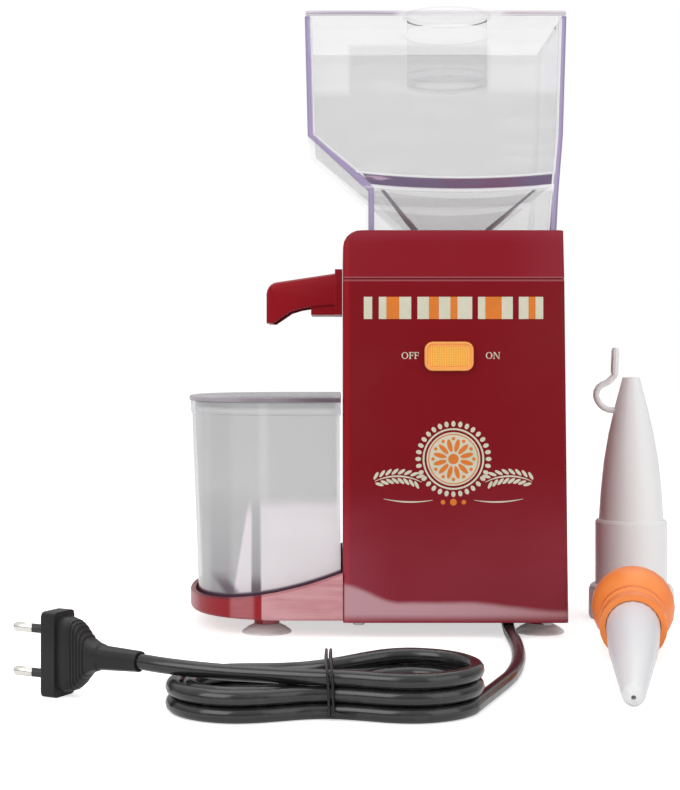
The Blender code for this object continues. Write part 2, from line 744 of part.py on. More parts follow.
def make_top_cover(root):
    roll_start = COVER_TOP_Z - COVER_CORNER_R
    roll = [roll_start + COVER_CORNER_R * math.sin(math.radians(a)) for a in (0, 20, 40, 60, 76)]
    rings = [cover_ring(SEAM_Z + GAP)] + [cover_ring(z) for z in roll]
    rings += [cover_ring(COVER_TOP_Z - 0.02, COVER_EDGE * 0.5)]
    cover = make("top_cover", loft(rings), "red_plastic", root)
    inner_right = SEAM_RIGHT - HOUSING_WALL
    under_well = WELL_FLOOR_Z - WELL_FLOOR_WALL
    left, right, front, back = well_walls(GAP + WELL_WALL)
    top = COVER_TOP_Z - COVER_TOP_WALL
    cut(cover, box(INNER_LEFT, inner_right, -INNER_HALF_DEPTH, INNER_HALF_DEPTH,
                   SEAM_Z - 1, under_well), root)
    roll_clear = HOUSING_LEFT + COVER_CORNER_R * 0.45 + HOUSING_WALL
    cut(cover, box(roll_clear, left, -INNER_HALF_DEPTH, INNER_HALF_DEPTH, under_well - 1, top), root)
    cut(cover, box(left - 1, inner_right, -INNER_HALF_DEPTH, front, under_well - 1, top), root)
    cut(cover, box(left - 1, inner_right, back, INNER_HALF_DEPTH, under_well - 1, top), root)
    left, right, front, back = well_walls(GAP)
    cut(cover, prism(rounded_rectangle(left, right, front, back, HOPPER_CORNER_R),
                     WELL_FLOOR_Z, COVER_TOP_Z + 1), root)
    cut(cover, cylinder((GRINDER_X, 0), CHAMBER_BORE_R, under_well - 1, WELL_FLOOR_Z + 1), root)
    lip = HOUSING_WALL + GAP
    lip_rings = [
        at_height(housing_outline(lip, SEAM_RIGHT, 1.2), SEAM_Z - COVER_LIP),
        at_height(housing_outline(lip, SEAM_RIGHT, 1.2), SEAM_Z + HOUSING_WALL),
        at_height(housing_outline(lip + COVER_LIP_WALL, SEAM_RIGHT, 1.0), SEAM_Z + HOUSING_WALL),
        at_height(housing_outline(lip + COVER_LIP_WALL, SEAM_RIGHT, 1.0), SEAM_Z - COVER_LIP),
    ]
    brackets = [
        box(INNER_LEFT - 0.4, INNER_LEFT + COVER_LIP_WALL, y - 6, y + 6, SEAM_Z + 0.6, SEAM_Z + 2.2)
        for y in (-SHELF_LENGTH / 2, SHELF_LENGTH / 2)
    ]
    brackets += [
        box(inner_right - COVER_LIP_WALL, inner_right + 0.4, y - 6, y + 6, SEAM_Z + 0.6, SEAM_Z + 2.2)
        for y in (-SHELF_LENGTH / 2, SHELF_LENGTH / 2)
    ]
    join(cover, loft(lip_rings, ring_shaped=True), root)
    join(cover, merge(brackets), root)
    chute_half = CHUTE_WIDTH / 2 + SLIDE_GAP
    cut(cover, box(INNER_LEFT, INNER_LEFT + COVER_LIP_WALL + 2, -chute_half, chute_half,
                   SEAM_Z - COVER_LIP - 1, CHUTE_TOP_Z + SLIDE_GAP), root)
    return cover


# Hopper and its lid

def hopper_ring(left, right, depth, height, radius, sag=0.0):
    """A rectangular ring; a sag lowers the middle of its front and back edges."""
    steps = 4
    outline = rounded_rectangle(left, right, -depth / 2, depth / 2, radius, steps)
    corners = [outline[k * (steps + 1):(k + 1) * (steps + 1)] for k in range(4)]
    side_steps = (3, 6, 3, 6)
    half = (right - left) / 2 - radius
    middle = (left + right) / 2
    along = []
    for corner, following, count in zip(corners, corners[1:] + corners[:1], side_steps):
        (x, y), (next_x, next_y) = corner[-1], following[0]
        along += corner
        along += [(x + (next_x - x) * k / count, y + (next_y - y) * k / count)
                  for k in range(1, count)]

    def lowered(x, y):
        bow = max(0.0, 1 - ((x - middle) / half) ** 2)
        return sag * bow if abs(y) > depth * 0.45 else 0.0

    return [(x, y, height - lowered(x, y)) for x, y in along]


def make_hopper(root):
    """Bin, skirt and funnel moulded as one clear shell: outside up, inside down, funnel back up."""
    wall = HOPPER_WALL
    corner = HOPPER_CORNER_R
    inner_corner = max(corner - 1.0, 0.8)
    slope_z = NECK_TOP_Z - 2.5
    funnel_z = NECK_TOP_Z + FUNNEL_TOP_DROP
    throat_left = GRINDER_X - THROAT_SIZE / 2
    throat_right = GRINDER_X + THROAT_SIZE / 2
    throat_top_z = THROAT_BOTTOM_Z + THROAT_LENGTH
    outer_throat = THROAT_SIZE + 2 * FUNNEL_WALL
    funnel_left = NECK_LEFT + FUNNEL_MARGIN
    funnel_right = NECK_RIGHT - FUNNEL_RIGHT_LEDGE
    funnel_depth = NECK_DEPTH - 2 * FUNNEL_MARGIN
    under_z = funnel_z - FUNNEL_WALL - 1.2
    rings = [
        hopper_ring(NECK_LEFT, NECK_BOTTOM_RIGHT, SKIRT_DEPTH, SKIRT_BOTTOM_Z, corner),
        hopper_ring(NECK_LEFT, NECK_RIGHT, NECK_DEPTH, slope_z, corner),
        hopper_ring(BIN_BEND_LEFT, BIN_BEND_RIGHT, BIN_BEND_DEPTH, BIN_BEND_Z, corner),
        hopper_ring(HOPPER_TOP_LEFT, HOPPER_TOP_RIGHT, HOPPER_TOP_DEPTH, HOPPER_TOP_Z, corner),
        hopper_ring(HOPPER_TOP_LEFT + wall, HOPPER_TOP_RIGHT - wall, HOPPER_TOP_DEPTH - 2 * wall,
                    HOPPER_TOP_Z, inner_corner),
        hopper_ring(BIN_BEND_LEFT + wall, BIN_BEND_RIGHT - wall, BIN_BEND_DEPTH - 2 * wall,
                    BIN_BEND_Z + wall * 0.4, inner_corner),
        hopper_ring(NECK_LEFT + wall * 0.8, NECK_RIGHT - wall, NECK_DEPTH - 2 * wall,
                    funnel_z, inner_corner, FUNNEL_SAG),
        hopper_ring(funnel_left, funnel_right, funnel_depth, funnel_z, inner_corner, FUNNEL_SAG),
        hopper_ring(throat_left, throat_right, THROAT_SIZE, throat_top_z, THROAT_CORNER_R),
        hopper_ring(throat_left, throat_right, THROAT_SIZE, THROAT_BOTTOM_Z, THROAT_CORNER_R),
        hopper_ring(throat_left - FUNNEL_WALL, throat_right + FUNNEL_WALL, outer_throat,
                    THROAT_BOTTOM_Z, THROAT_CORNER_R),
        hopper_ring(throat_left - FUNNEL_WALL, throat_right + FUNNEL_WALL, outer_throat,
                    throat_top_z - 1, THROAT_CORNER_R),
        hopper_ring(funnel_left - 0.8, funnel_right + 0.8, funnel_depth + 1.6, under_z,
                    inner_corner, FUNNEL_SAG),
        hopper_ring(NECK_LEFT + wall, NECK_RIGHT - wall, NECK_DEPTH - 2 * wall, under_z,
                    inner_corner, FUNNEL_SAG),
        hopper_ring(NECK_LEFT + wall, NECK_BOTTOM_RIGHT - wall, SKIRT_DEPTH - 2 * wall,
                    SKIRT_BOTTOM_Z, inner_corner),
    ]
    hopper = make("hopper", loft(rings, ring_shaped=True), "clear_plastic", root,
                  (GRINDER_X, 0, SKIRT_BOTTOM_Z))
    return hopper


def make_hopper_lid(root):
    inset = HOPPER_WALL + SLIDE_GAP
    plate_outline = rounded_rectangle(HOPPER_TOP_LEFT, HOPPER_TOP_RIGHT, -HOPPER_TOP_DEPTH / 2,
                                      HOPPER_TOP_DEPTH / 2, HOPPER_CORNER_R)

    def skirt_ring(extra, height):
        outline = rounded_rectangle(
            HOPPER_TOP_LEFT + inset + extra, HOPPER_TOP_RIGHT - inset - extra,
            -HOPPER_TOP_DEPTH / 2 + inset + extra, HOPPER_TOP_DEPTH / 2 - inset - extra, 1.6)
        return at_height(outline, height)

    skirt_bottom = LID_BOTTOM_Z - LID_SKIRT
    plate_shape = loft([
        skirt_ring(LID_SKIRT_WALL, LID_BOTTOM_Z), skirt_ring(LID_SKIRT_WALL, skirt_bottom),
        skirt_ring(0, skirt_bottom), skirt_ring(0, LID_BOTTOM_Z),
        at_height(plate_outline, LID_BOTTOM_Z), at_height(plate_outline, LID_TOP_Z),
    ])
    lid = make("hopper_lid", plate_shape, "clear_plastic", root, (GRINDER_X, 0, LID_BOTTOM_Z))
    top = LID_TOP_Z + PORT_ABOVE
    bottom = LID_BOTTOM_Z - PORT_BELOW
    bore = PORT_OUTER_R - PORT_WALL
    outside = [
        (0, bottom), (PORT_OUTER_R, bottom), (PORT_OUTER_R, top - PORT_FLANGE),
        (PORT_FLANGE_R, top - PORT_FLANGE), (PORT_FLANGE_R, top), (0, top),
    ]
    join(lid, revolve(outside, (GRINDER_X, 0), 32), root)
    inside = [
        (0, bottom - 1), (bore - PORT_LIP, bottom - 1), (bore - PORT_LIP, bottom + PORT_LIP_HEIGHT),
        (bore, bottom + PORT_LIP_HEIGHT), (bore, top + 1), (0, top + 1),
    ]
    cut(lid, revolve(inside, (GRINDER_X, 0), 32), root)
    return lid


# Grinding set

def toothed_ring(base, depth, turn, height, steps=TOOTH_STEPS):
    """A ring of saw teeth round the grinder's axis."""
    points = []
    for tooth in range(TOOTH_COUNT):
        for step in range(steps):
            share = step / steps
            angle = math.radians(turn + 360 * (tooth + share) / TOOTH_COUNT)
            radius = base + depth * share * steps / (steps - 1)
            points.append((GRINDER_X + radius * math.cos(angle), radius * math.sin(angle), height))
    return points


def round_ring(radius, height):
    outline = circle((GRINDER_X, 0), radius, TOOTH_COUNT * TOOTH_STEPS)
    return at_height(outline, height)


def cone_radius(height):
    share = (height - CONE_BOTTOM_Z) / (RING_TOP_Z - CONE_BOTTOM_Z)
    return CONE_BOTTOM_R + (CONE_TOP_R - CONE_BOTTOM_R) * share


def make_burr_ring(root):
    """Fixed outer burr: a steel ring whose conical bore is cut with slanted saw teeth."""
    levels = 4
    rings = [round_ring(RING_R - GAP, RING_TOP_Z - GAP), round_ring(RING_R - GAP, RING_BOTTOM_Z)]
    top = RING_TOP_Z - GAP
    for k in range(levels):
        share = k / (levels - 1)
        height = RING_BOTTOM_Z + (top - RING_BOTTOM_Z) * share
        base = cone_radius(height) + TOOTH_DEPTH + GRIND_GAP
        rings.append(toothed_ring(base, TOOTH_DEPTH, TOOTH_TWIST * share, height))
    return make("burr_ring", loft(rings, ring_shaped=True), "dark_steel", root, (GRINDER_X, 0, RING_BOTTOM_Z))


def auger_ring(height, top):
    """A round core with one blade that climbs as the height grows."""
    share = (height - RING_TOP_Z) / (top - RING_TOP_Z)
    turn = 360 * AUGER_TURNS * share
    points = []
    count = TOOTH_COUNT * TOOTH_STEPS
    for k in range(count):
        angle = 360 * k / count
        away = abs((angle - turn + 180) % 360 - 180)
        blade = max(0.0, 1 - away / 42) ** 0.7
        radius = AUGER_CORE_R + (AUGER_BLADE_R - AUGER_CORE_R) * blade
        points.append((GRINDER_X + radius * math.cos(math.radians(angle)),
                       radius * math.sin(math.radians(angle)), height))
    return points


def make_grinding_cone(root):
    """Turning inner burr with the auger that draws the nuts down, bored for its shaft."""
    bore = SHAFT_R + RUN_GAP
    rings = [round_ring(bore, SHAFT_TOP_Z + GAP), round_ring(bore, CONE_BOTTOM_Z)]
    levels = 4
    for k in range(levels):
        share = k / (levels - 1)
        height = CONE_BOTTOM_Z + (RING_TOP_Z - CONE_BOTTOM_Z) * share
        rings.append(toothed_ring(cone_radius(height), TOOTH_DEPTH, -TOOTH_TWIST * share, height))
    auger_levels = 10
    for k in range(1, auger_levels + 1):
        height = RING_TOP_Z + (AUGER_TOP_Z - RING_TOP_Z) * k / auger_levels
        rings.append(auger_ring(height, AUGER_TOP_Z))
    return make("grinding_cone", loft(rings), "steel", root, (GRINDER_X, 0, CONE_BOTTOM_Z))


def make_grinding_chamber(root):
    """Cast chamber with its inlet neck, outlet chute and four posts."""
    bush_seat = SHAFT_R + RUN_GAP + BUSH_WALL + RUN_GAP
    profile = [
        (bush_seat, CHAMBER_BOTTOM_Z), (CHAMBER_R, CHAMBER_BOTTOM_Z), (CHAMBER_R, CHAMBER_TOP_Z),
        (CHAMBER_NECK_R, CHAMBER_TOP_Z), (CHAMBER_NECK_R, WELL_FLOOR_Z - WELL_FLOOR_WALL - GAP),
        (CHAMBER_BORE_R, WELL_FLOOR_Z - WELL_FLOOR_WALL - GAP), (CHAMBER_BORE_R, RING_TOP_Z),
        (RING_R, RING_TOP_Z), (RING_R, RING_BOTTOM_Z - GAP), (CHAMBER_CAVITY_R, RING_BOTTOM_Z - GAP),
        (CHAMBER_CAVITY_R, CHAMBER_FLOOR_Z), (bush_seat, CHAMBER_FLOOR_Z),
    ]
    chamber = make("grinding_chamber", revolve(profile, (GRINDER_X, 0), 24), "steel", root)
    half = CHUTE_WIDTH / 2
    chute_end = HOUSING_LEFT + GAP
    chute_left_inside = GRINDER_X - CHAMBER_R + 1.2
    join(chamber, box(chute_end, chute_left_inside + 2, -half, half, CHAMBER_FLOOR_Z - CHUTE_WALL,
                      CHUTE_TOP_Z), root)
    inner = half - CHUTE_WALL
    cut(chamber, box(chute_end - 1, GRINDER_X - CHAMBER_CAVITY_R * 0.6, -inner, inner,
                     CHAMBER_FLOOR_Z, min(CHUTE_TOP_Z - CHUTE_WALL, RING_BOTTOM_Z - 0.6)), root)
    posts = []
    for quarter in range(4):
        angle = math.radians(45 + 90 * quarter)
        centre = (GRINDER_X + POST_CIRCLE_R * math.cos(angle), POST_CIRCLE_R * math.sin(angle))
        posts.append(cylinder(centre, POST_R, PLATE_TOP_Z + GAP, CHAMBER_BOTTOM_Z + 4, 16))
    join(chamber, merge(posts), root)
    return chamber


def make_drive_shaft(root):
    key = SHAFT_R * 0.86
    profile = [
        (0, SHAFT_BOTTOM_Z), (key, SHAFT_BOTTOM_Z), (SHAFT_R, SHAFT_BOTTOM_Z + 0.6),
        (SHAFT_R, SHAFT_TOP_Z - 0.6), (key, SHAFT_TOP_Z), (0, SHAFT_TOP_Z),
    ]
    return make("drive_shaft", revolve(profile, (GRINDER_X, 0), 24), "steel", root,
                (GRINDER_X, 0, SHAFT_BOTTOM_Z))


def make_bush(name, centre, bore, wall, bottom, top, finish, root):
    profile = [(bore, bottom), (bore + wall, bottom), (bore + wall, top), (bore, top)]
    return make(name, revolve(profile, centre, 24), finish, root, (*centre, bottom))


# Gears and motor

def tooth_outline(teeth, centre, turn):
    """An involute spur gear's outline, thinned by its share of the backlash."""
    pitch_r = MODULE * teeth / 2
    base_r = pitch_r * math.cos(math.radians(20))
    tip_r = pitch_r + MODULE * 0.9
    root_r = pitch_r - MODULE * 1.2

    def swing(radius):
        if radius <= base_r:
            return 0.0
        pressure = math.acos(base_r / radius)
        return math.tan(pressure) - pressure

    half_at_pitch = math.pi / (2 * teeth) - BACKLASH / (2 * pitch_r)
    flank = [max(root_r, base_r), pitch_r, tip_r]
    halves = [(root_r, half_at_pitch + swing(pitch_r) + 0.15 / root_r)]
    halves += [(radius, half_at_pitch + swing(pitch_r) - swing(radius)) for radius in flank]
    points = []
    for tooth in range(teeth):
        middle = turn + math.tau * tooth / teeth
        for radius, half in halves:
            points.append((radius, middle - half))
        for radius, half in reversed(halves):
            points.append((radius, middle + half))
    return [(centre[0] + r * math.cos(a), centre[1] + r * math.sin(a)) for r, a in points]


def make_gear(name, teeth, centre, turn, bore, hub, finish, root):
    top = GEAR_BOTTOM_Z + GEAR_FACE
    shape = prism(tooth_outline(teeth, centre, turn), GEAR_BOTTOM_Z, top)
    gear = make(name, shape, finish, root, (*centre, GEAR_BOTTOM_Z))
    join(gear, cylinder(centre, hub, top - 1, top + GEAR_HUB_HEIGHT, 16), root)
    cut(gear, cylinder(centre, bore, GEAR_BOTTOM_Z - 1, top + GEAR_HUB_HEIGHT + 1, 20), root)
    return gear


def make_gears(root):
    towards_pinion = math.pi / 2
    tooth_on_line = towards_pinion - math.tau / (2 * GEAR_TEETH)
    make_gear("drive_gear", GEAR_TEETH, (GRINDER_X, 0), tooth_on_line, SHAFT_R + RUN_GAP,
              GEAR_HUB_R, "nylon", root)
    make_gear("motor_pinion", PINION_TEETH, (GRINDER_X, MOTOR_Y), -towards_pinion,
              MOTOR_SHAFT_R + RUN_GAP, MOTOR_SHAFT_R + 1.8, "brass", root)


def make_gearbox_plate(root):
    """Plate across the housing that carries the motor below and the grinder above."""
    slack = GAP + HOUSING_WALL
    share = (SEAM_Z - PLATE_BOTTOM_Z) / (SEAM_Z - HOUSING_BOTTOM)
    right = SEAM_RIGHT + HOUSING_DRAFT * share - slack
    outline = rounded_rectangle(HOUSING_LEFT + slack, right, PLATE_FRONT, PLATE_BACK, 3)
    plate = make("gearbox_plate", prism(outline, PLATE_BOTTOM_Z, PLATE_TOP_Z), "steel", root)
    bush_hole = SHAFT_R + RUN_GAP + BUSH_WALL + RUN_GAP
    cut(plate, merge([
        cylinder((GRINDER_X, 0), bush_hole, PLATE_BOTTOM_Z - 1, PLATE_TOP_Z + 1),
        cylinder((GRINDER_X, MOTOR_Y), MOTOR_SHAFT_R + 2, PLATE_BOTTOM_Z - 1, PLATE_TOP_Z + 1),
    ]), root)
    return plate


def make_motor(root):
    centre = (GRINDER_X, MOTOR_Y)
    inside = MOTOR_R - MOTOR_WALL
    bearing_seat = BEARING_R + RUN_GAP
    can = [
        (bearing_seat, MOTOR_TOP_Z), (bearing_seat, MOTOR_TOP_Z - MOTOR_END_WALL),
        (inside, MOTOR_TOP_Z - MOTOR_END_WALL), (inside, MOTOR_BOTTOM_Z),
        (MOTOR_R, MOTOR_BOTTOM_Z), (MOTOR_R, MOTOR_TOP_Z),
    ]
    make("motor_can", revolve(can, centre, 28), "dark_steel", root, (*centre, MOTOR_BOTTOM_Z))
    cap_top = MOTOR_BOTTOM_Z - GAP
    cap = [
        (bearing_seat, cap_top), (bearing_seat, cap_top - MOTOR_END_WALL),
        (MOTOR_R, cap_top - MOTOR_END_WALL), (MOTOR_R, cap_top),
    ]
    make("motor_end_cap", revolve(cap, centre, 28), "black_plastic", root, (*centre, cap_top))
    shaft_bore = MOTOR_SHAFT_R + RUN_GAP
    wall = BEARING_R - shaft_bore
    make_bush("motor_bearing_top", centre, shaft_bore, wall, MOTOR_TOP_Z - MOTOR_END_WALL,
              MOTOR_TOP_Z, "steel", root)
    make_bush("motor_bearing_bottom", centre, shaft_bore, wall, cap_top - MOTOR_END_WALL,
              cap_top, "steel", root)
    core_r = inside - ROTOR_GAP - 1.5
    core_bottom = MOTOR_BOTTOM_Z + 9
    core_top = core_bottom + ROTOR_LENGTH
    shaft_top = GEAR_BOTTOM_Z + GEAR_FACE + GEAR_HUB_HEIGHT
    shaft_bottom = cap_top - MOTOR_END_WALL - MOTOR_SHAFT_BELOW
    rotor = [
        (0, shaft_bottom), (MOTOR_SHAFT_R, shaft_bottom), (MOTOR_SHAFT_R, core_bottom - 5),
        (COMMUTATOR_R, core_bottom - 5), (COMMUTATOR_R, core_bottom - 1),
        (core_r - 4, core_bottom - 1), (core_r, core_bottom), (core_r, core_top),
        (core_r - 4, core_top + 3), (COMMUTATOR_R, core_top + 3), (MOTOR_SHAFT_R, core_top + 5),
        (MOTOR_SHAFT_R, shaft_top), (0, shaft_top),
    ]
    make("motor_rotor", revolve(rotor, centre, 20), "dark_steel", root, (*centre, core_bottom))
    outline = []
    blade_half = math.asin(FAN_BLADE_WIDTH / 2 / FAN_HUB_R)
    for k in range(FAN_BLADES):
        middle = math.tau * k / FAN_BLADES
        tip_half = FAN_BLADE_WIDTH / 2 / FAN_R
        for radius, angle in ((FAN_HUB_R, middle - blade_half), (FAN_R, middle - tip_half),
                              (FAN_R, middle + tip_half), (FAN_HUB_R, middle + blade_half)):
            outline.append((centre[0] + radius * math.cos(angle), centre[1] + radius * math.sin(angle)))
    fan_top = cap_top - MOTOR_END_WALL - 2
    fan = make("motor_fan", prism(outline, fan_top - FAN_HEIGHT, fan_top), "nylon", root,
               (*centre, fan_top))
    join(fan, cylinder(centre, FAN_R - 1, fan_top - 1.4, fan_top - 0.001, 27), root)
    cut(fan, cylinder(centre, shaft_bore, fan_top - FAN_HEIGHT - 1, fan_top + 1, 20), root)


# Spout

def spout_outline(inset):
    """Side outline of the hood in X and Z, from the wall out to the nose and back."""
    back = HOUSING_LEFT - GAP
    nose_x = -SPOUT_REACH + inset
    nose_r = max(SPOUT_NOSE_R - inset, 1.0)
    top_front = SPOUT_FRONT_TOP_Z - inset
    top_back = SPOUT_BACK_TOP_Z - inset
    bottom = SPOUT_TIP_BOTTOM_Z
    points = [(back, top_back)]
    points += arc((nose_x + nose_r, top_front - nose_r), nose_r, 95, 180, 5)
    points += [(nose_x, bottom), (-SPOUT_REACH + SPOUT_TIP_FLAT, bottom)]
    points += [(-x, z) for x, z in SPOUT_ARCH]
    points += [(back, SPOUT_ARCH[-1][1] + 0.8)]
    return points


def make_spout(root):
    """Hood that leads the butter down into the cup, with the collar that sits on the housing."""
    half = SPOUT_WIDTH / 2
    edge = SPOUT_EDGE
    first_roll = edge * SPOUT_EDGE_SHARE
    outline = spout_outline(0)
    # The outline starts at the wall, runs over the top and round the nose, and comes back below.
    top_points, nose_points = range(4), range(4, 8)
    rolled = [(x, z - (first_roll if k < 6 else 0)) for k, (x, z) in enumerate(outline)]
    side = [(x + (first_roll if k in nose_points else 0), z - (edge if k in top_points else 0))
            for k, (x, z) in enumerate(outline)]
    rings = [
        facing_y(side, -half), facing_y(rolled, -half + first_roll), facing_y(outline, -half + edge),
        facing_y(outline, half - edge), facing_y(rolled, half - first_roll), facing_y(side, half),
    ]
    spout = make("spout", loft(rings), "red_plastic", root, (HOUSING_LEFT - GAP, 0, CHAMBER_FLOOR_Z))
    back = HOUSING_LEFT - GAP
    wide = half + COLLAR_OVER
    inner = spout_outline(SPOUT_WALL)
    cutter = [(x, z) if k < 7 else (x, z - 12) for k, (x, z) in enumerate(inner)]
    cutter = [(x + (2 if k == 0 or k == len(inner) - 1 else 0), z) for k, (x, z) in enumerate(cutter)]
    join(spout, box(back - COLLAR_THICKNESS, back, -wide, wide, COLLAR_BOTTOM_Z, COLLAR_TOP_Z), root)
    channel = half - SPOUT_WALL
    cut(spout, prism_along_y(cutter, -channel, channel), root)
    floor_half = channel + 1
    join(spout, box(-SPOUT_FLOOR_REACH, back, -floor_half, floor_half, COLLAR_BOTTOM_Z,
                    CHAMBER_FLOOR_Z), root)
    cheeks = [
        prism_along_y([(-SPOUT_FLOOR_REACH, COLLAR_BOTTOM_Z), (back, COLLAR_BOTTOM_Z),
                       (back, SPOUT_ARCH[-1][1] + 2), (-SPOUT_FLOOR_REACH, SPOUT_ARCH[-1][1] + 1)],
                      min(side * channel, side * floor_half), max(side * channel, side * floor_half))
        for side in (-1, 1)
    ]
    join(spout, merge(cheeks), root)
    return spout


# Switch

def button_outline(inset):
    half_l = BUTTON_LENGTH / 2 - inset
    half_h = BUTTON_HEIGHT / 2 - inset
    radius = max(BUTTON_CORNER_R - inset, 0.8)
    return rounded_rectangle(BUTTON_X - half_l, BUTTON_X + half_l, BUTTON_Z - half_h,
                             BUTTON_Z + half_h, radius, 4)


def make_switch(root):
    wall_y = -HALF_DEPTH
    back_y = wall_y - GAP
    front_y = back_y - BUTTON_DEPTH
    floor_y = front_y + BUTTON_RIM_DEPTH
    rings = [
        facing_y(button_outline(0), back_y), facing_y(button_outline(0), front_y + 0.7),
        facing_y(button_outline(0.5), front_y), facing_y(button_outline(BUTTON_RIM), front_y),
        facing_y(button_outline(BUTTON_RIM), floor_y),
    ]
    origin = (BUTTON_X, wall_y, BUTTON_Z)
    button = make("switch_button", loft(rings), "yellow_plastic", root, origin)
    rib_field = BUTTON_LENGTH - 2 * BUTTON_RIM - 3
    pitch = rib_field / BUTTON_RIBS
    left = BUTTON_X - rib_field / 2
    crest = floor_y - BUTTON_RIB_DEPTH
    outline = [(left, floor_y + 0.4)]
    for k in range(BUTTON_RIBS):
        outline += [(left + pitch * k + pitch * 0.1, floor_y - 0.02), (left + pitch * (k + 0.5), crest)]
    outline += [(left + rib_field, floor_y - 0.02), (left + rib_field, floor_y + 0.4)]
    half_h = BUTTON_HEIGHT / 2 - BUTTON_RIM - 1.2
    join(button, prism(outline, BUTTON_Z - half_h, BUTTON_Z + half_h), root)
    half_stem = STEM_LENGTH / 2
    join(button, box(BUTTON_X - half_stem, BUTTON_X + half_stem, back_y - 1, back_y + STEM_DEPTH,
                     BUTTON_Z - STEM_HEIGHT / 2, BUTTON_Z + STEM_HEIGHT / 2), root)
    body_front = -INNER_HALF_DEPTH + GAP
    middle = BUTTON_X + BUTTON_TRAVEL / 2
    half_l = SWITCH_LENGTH / 2
    body = make(
        "switch_body",
        box(middle - half_l, middle + half_l, body_front, body_front + SWITCH_DEPTH,
            BUTTON_Z - SWITCH_HEIGHT / 2, BUTTON_Z + SWITCH_HEIGHT / 2),
        "black_plastic", root)
    clear = SLIDE_GAP
    cut(body, box(BUTTON_X - half_stem - clear, BUTTON_X + half_stem + BUTTON_TRAVEL + clear,
                  body_front - 1, back_y + STEM_DEPTH + clear,
                  BUTTON_Z - STEM_HEIGHT / 2 - clear, BUTTON_Z + STEM_HEIGHT / 2 + clear), root)


# Tray and cup

def d_outline(reach, half_width, back_x, steps=22):
    """A bowed front with straight sides back to a flat back, seen from above."""
    points = []
    for k in range(steps + 1):
        angle = math.pi / 2 + math.pi * k / steps
        cosine, sine = math.cos(angle), math.sin(angle)
        x = TRAY_BEND_X + reach * math.copysign(abs(cosine) ** (2 / TRAY_POWER), cosine)
        y = half_width * math.copysign(abs(sine) ** (2 / TRAY_POWER), sine)
        points.append((x, y))
    side = 4
    near = [(TRAY_BEND_X + (back_x - TRAY_BEND_X) * k / side, -half_width) for k in range(1, side + 1)]
    far = [(x, -y) for x, y in reversed(near)]
    return points + near + far


def rim_height(x):
    """The tray's rim sweeps up from its front to the housing."""
    front = TRAY_BEND_X - TRAY_REACH
    share = max(0.0, (x - front) / (HOUSING_LEFT - front))
    return TRAY_RIM_FRONT_Z + TRAY_RIM_RISE * share ** TRAY_RIM_POWER


def make_cup_tray(root):
    back = HOUSING_LEFT - GAP
    inside = CUP_BACK_X + (back - CUP_BACK_X) / 2
    outer = d_outline(TRAY_REACH, HALF_DEPTH, back)
    inner = d_outline(TRAY_REACH - TRAY_WALL, HALF_DEPTH - TRAY_WALL, inside)
    edge = d_outline(TRAY_REACH - 0.8, HALF_DEPTH - 0.8, back)
    rings = [
        at_height(edge, TRAY_BOTTOM_Z),
        at_height(outer, TRAY_BOTTOM_Z + 1.2),
        [(x, y, rim_height(x)) for x, y in outer],
        [(x, y, rim_height(x)) for x, y in inner],
        at_height(inner, TRAY_FLOOR_Z),
    ]
    tray = make("cup_tray", loft(rings), "red_plastic", root)
    left_feet = [c for c in foot_centres() if c[0] < HOUSING_LEFT]
    for centre in left_feet:
        join(tray, foot_boss(centre), root)
    cut(tray, merge([
        cylinder(c, FOOT_STUD_R + RUN_GAP, FOOT_HEIGHT - 1, TRAY_FLOOR_Z - 0.8, 16) for c in left_feet
    ]), root)
    return tray


def cup_ring(height, inset):
    """The cup's outline at a height, drafted from its rim to its floor."""
    share = (CUP_TOP_Z - height) / (CUP_TOP_Z - CUP_BOTTOM_Z)
    less = CUP_DRAFT * share + inset
    reach = TRAY_REACH - less
    half_width = HALF_DEPTH - 0.9 - less
    return at_height(d_outline(reach, half_width, CUP_BACK_X - inset), height)


def make_cup(root):
    rim_z = CUP_TOP_Z - CUP_RIM_HEIGHT
    base_edge = 1.2
    rings = [
        cup_ring(CUP_BOTTOM_Z, base_edge),
        cup_ring(CUP_BOTTOM_Z + base_edge, 0),
        cup_ring(rim_z, CUP_RIM_STEP),
        cup_ring(rim_z + 0.6, 0),
        cup_ring(CUP_TOP_Z, 0),
        cup_ring(CUP_TOP_Z, CUP_WALL),
        cup_ring(CUP_BOTTOM_Z + CUP_FLOOR + 1, CUP_WALL),
        cup_ring(CUP_BOTTOM_Z + CUP_FLOOR, CUP_WALL + 1),
    ]
    return make("cup", loft(rings), "clear_plastic", root, (TRAY_BEND_X, 0, CUP_BOTTOM_Z))


def make_cup_lid(root):
    plug = CUP_WALL + SLIDE_GAP

    def lid_ring(inset, height, back):
        return at_height(d_outline(TRAY_REACH - inset, HALF_DEPTH - 0.9 - inset, back), height)

    over = -CUP_LID_OVER
    back = CUP_BACK_X
    rings = [
        lid_ring(plug + CUP_LID_PLUG_WALL, CUP_LID_Z, back - plug - CUP_LID_PLUG_WALL),
        lid_ring(plug + CUP_LID_PLUG_WALL, CUP_TOP_Z - CUP_LID_PLUG, back - plug - CUP_LID_PLUG_WALL),
        lid_ring(plug, CUP_TOP_Z - CUP_LID_PLUG, back - plug),
        lid_ring(plug, CUP_LID_Z, back - plug),
        lid_ring(over, CUP_LID_Z, back),
        lid_ring(over, CUP_LID_Z + CUP_LID_PLATE - 0.6, back),
        lid_ring(over + 0.6, CUP_LID_Z + CUP_LID_PLATE, back - 0.4),
    ]
    return make("cup_lid", loft(rings), "clear_plastic", root, (TRAY_BEND_X, 0, CUP_LID_Z))


# Mains lead

def boot_matrix(y):
    """Turns an upright shape at the lead's place so that it points towards the label side."""
    return (
        Matrix.Translation((CORD_X, y, BOOT_Z))
        @ Matrix.Rotation(math.radians(90), 4, "X")
        @ Matrix.Translation((-CORD_X, 0, 0))
    )


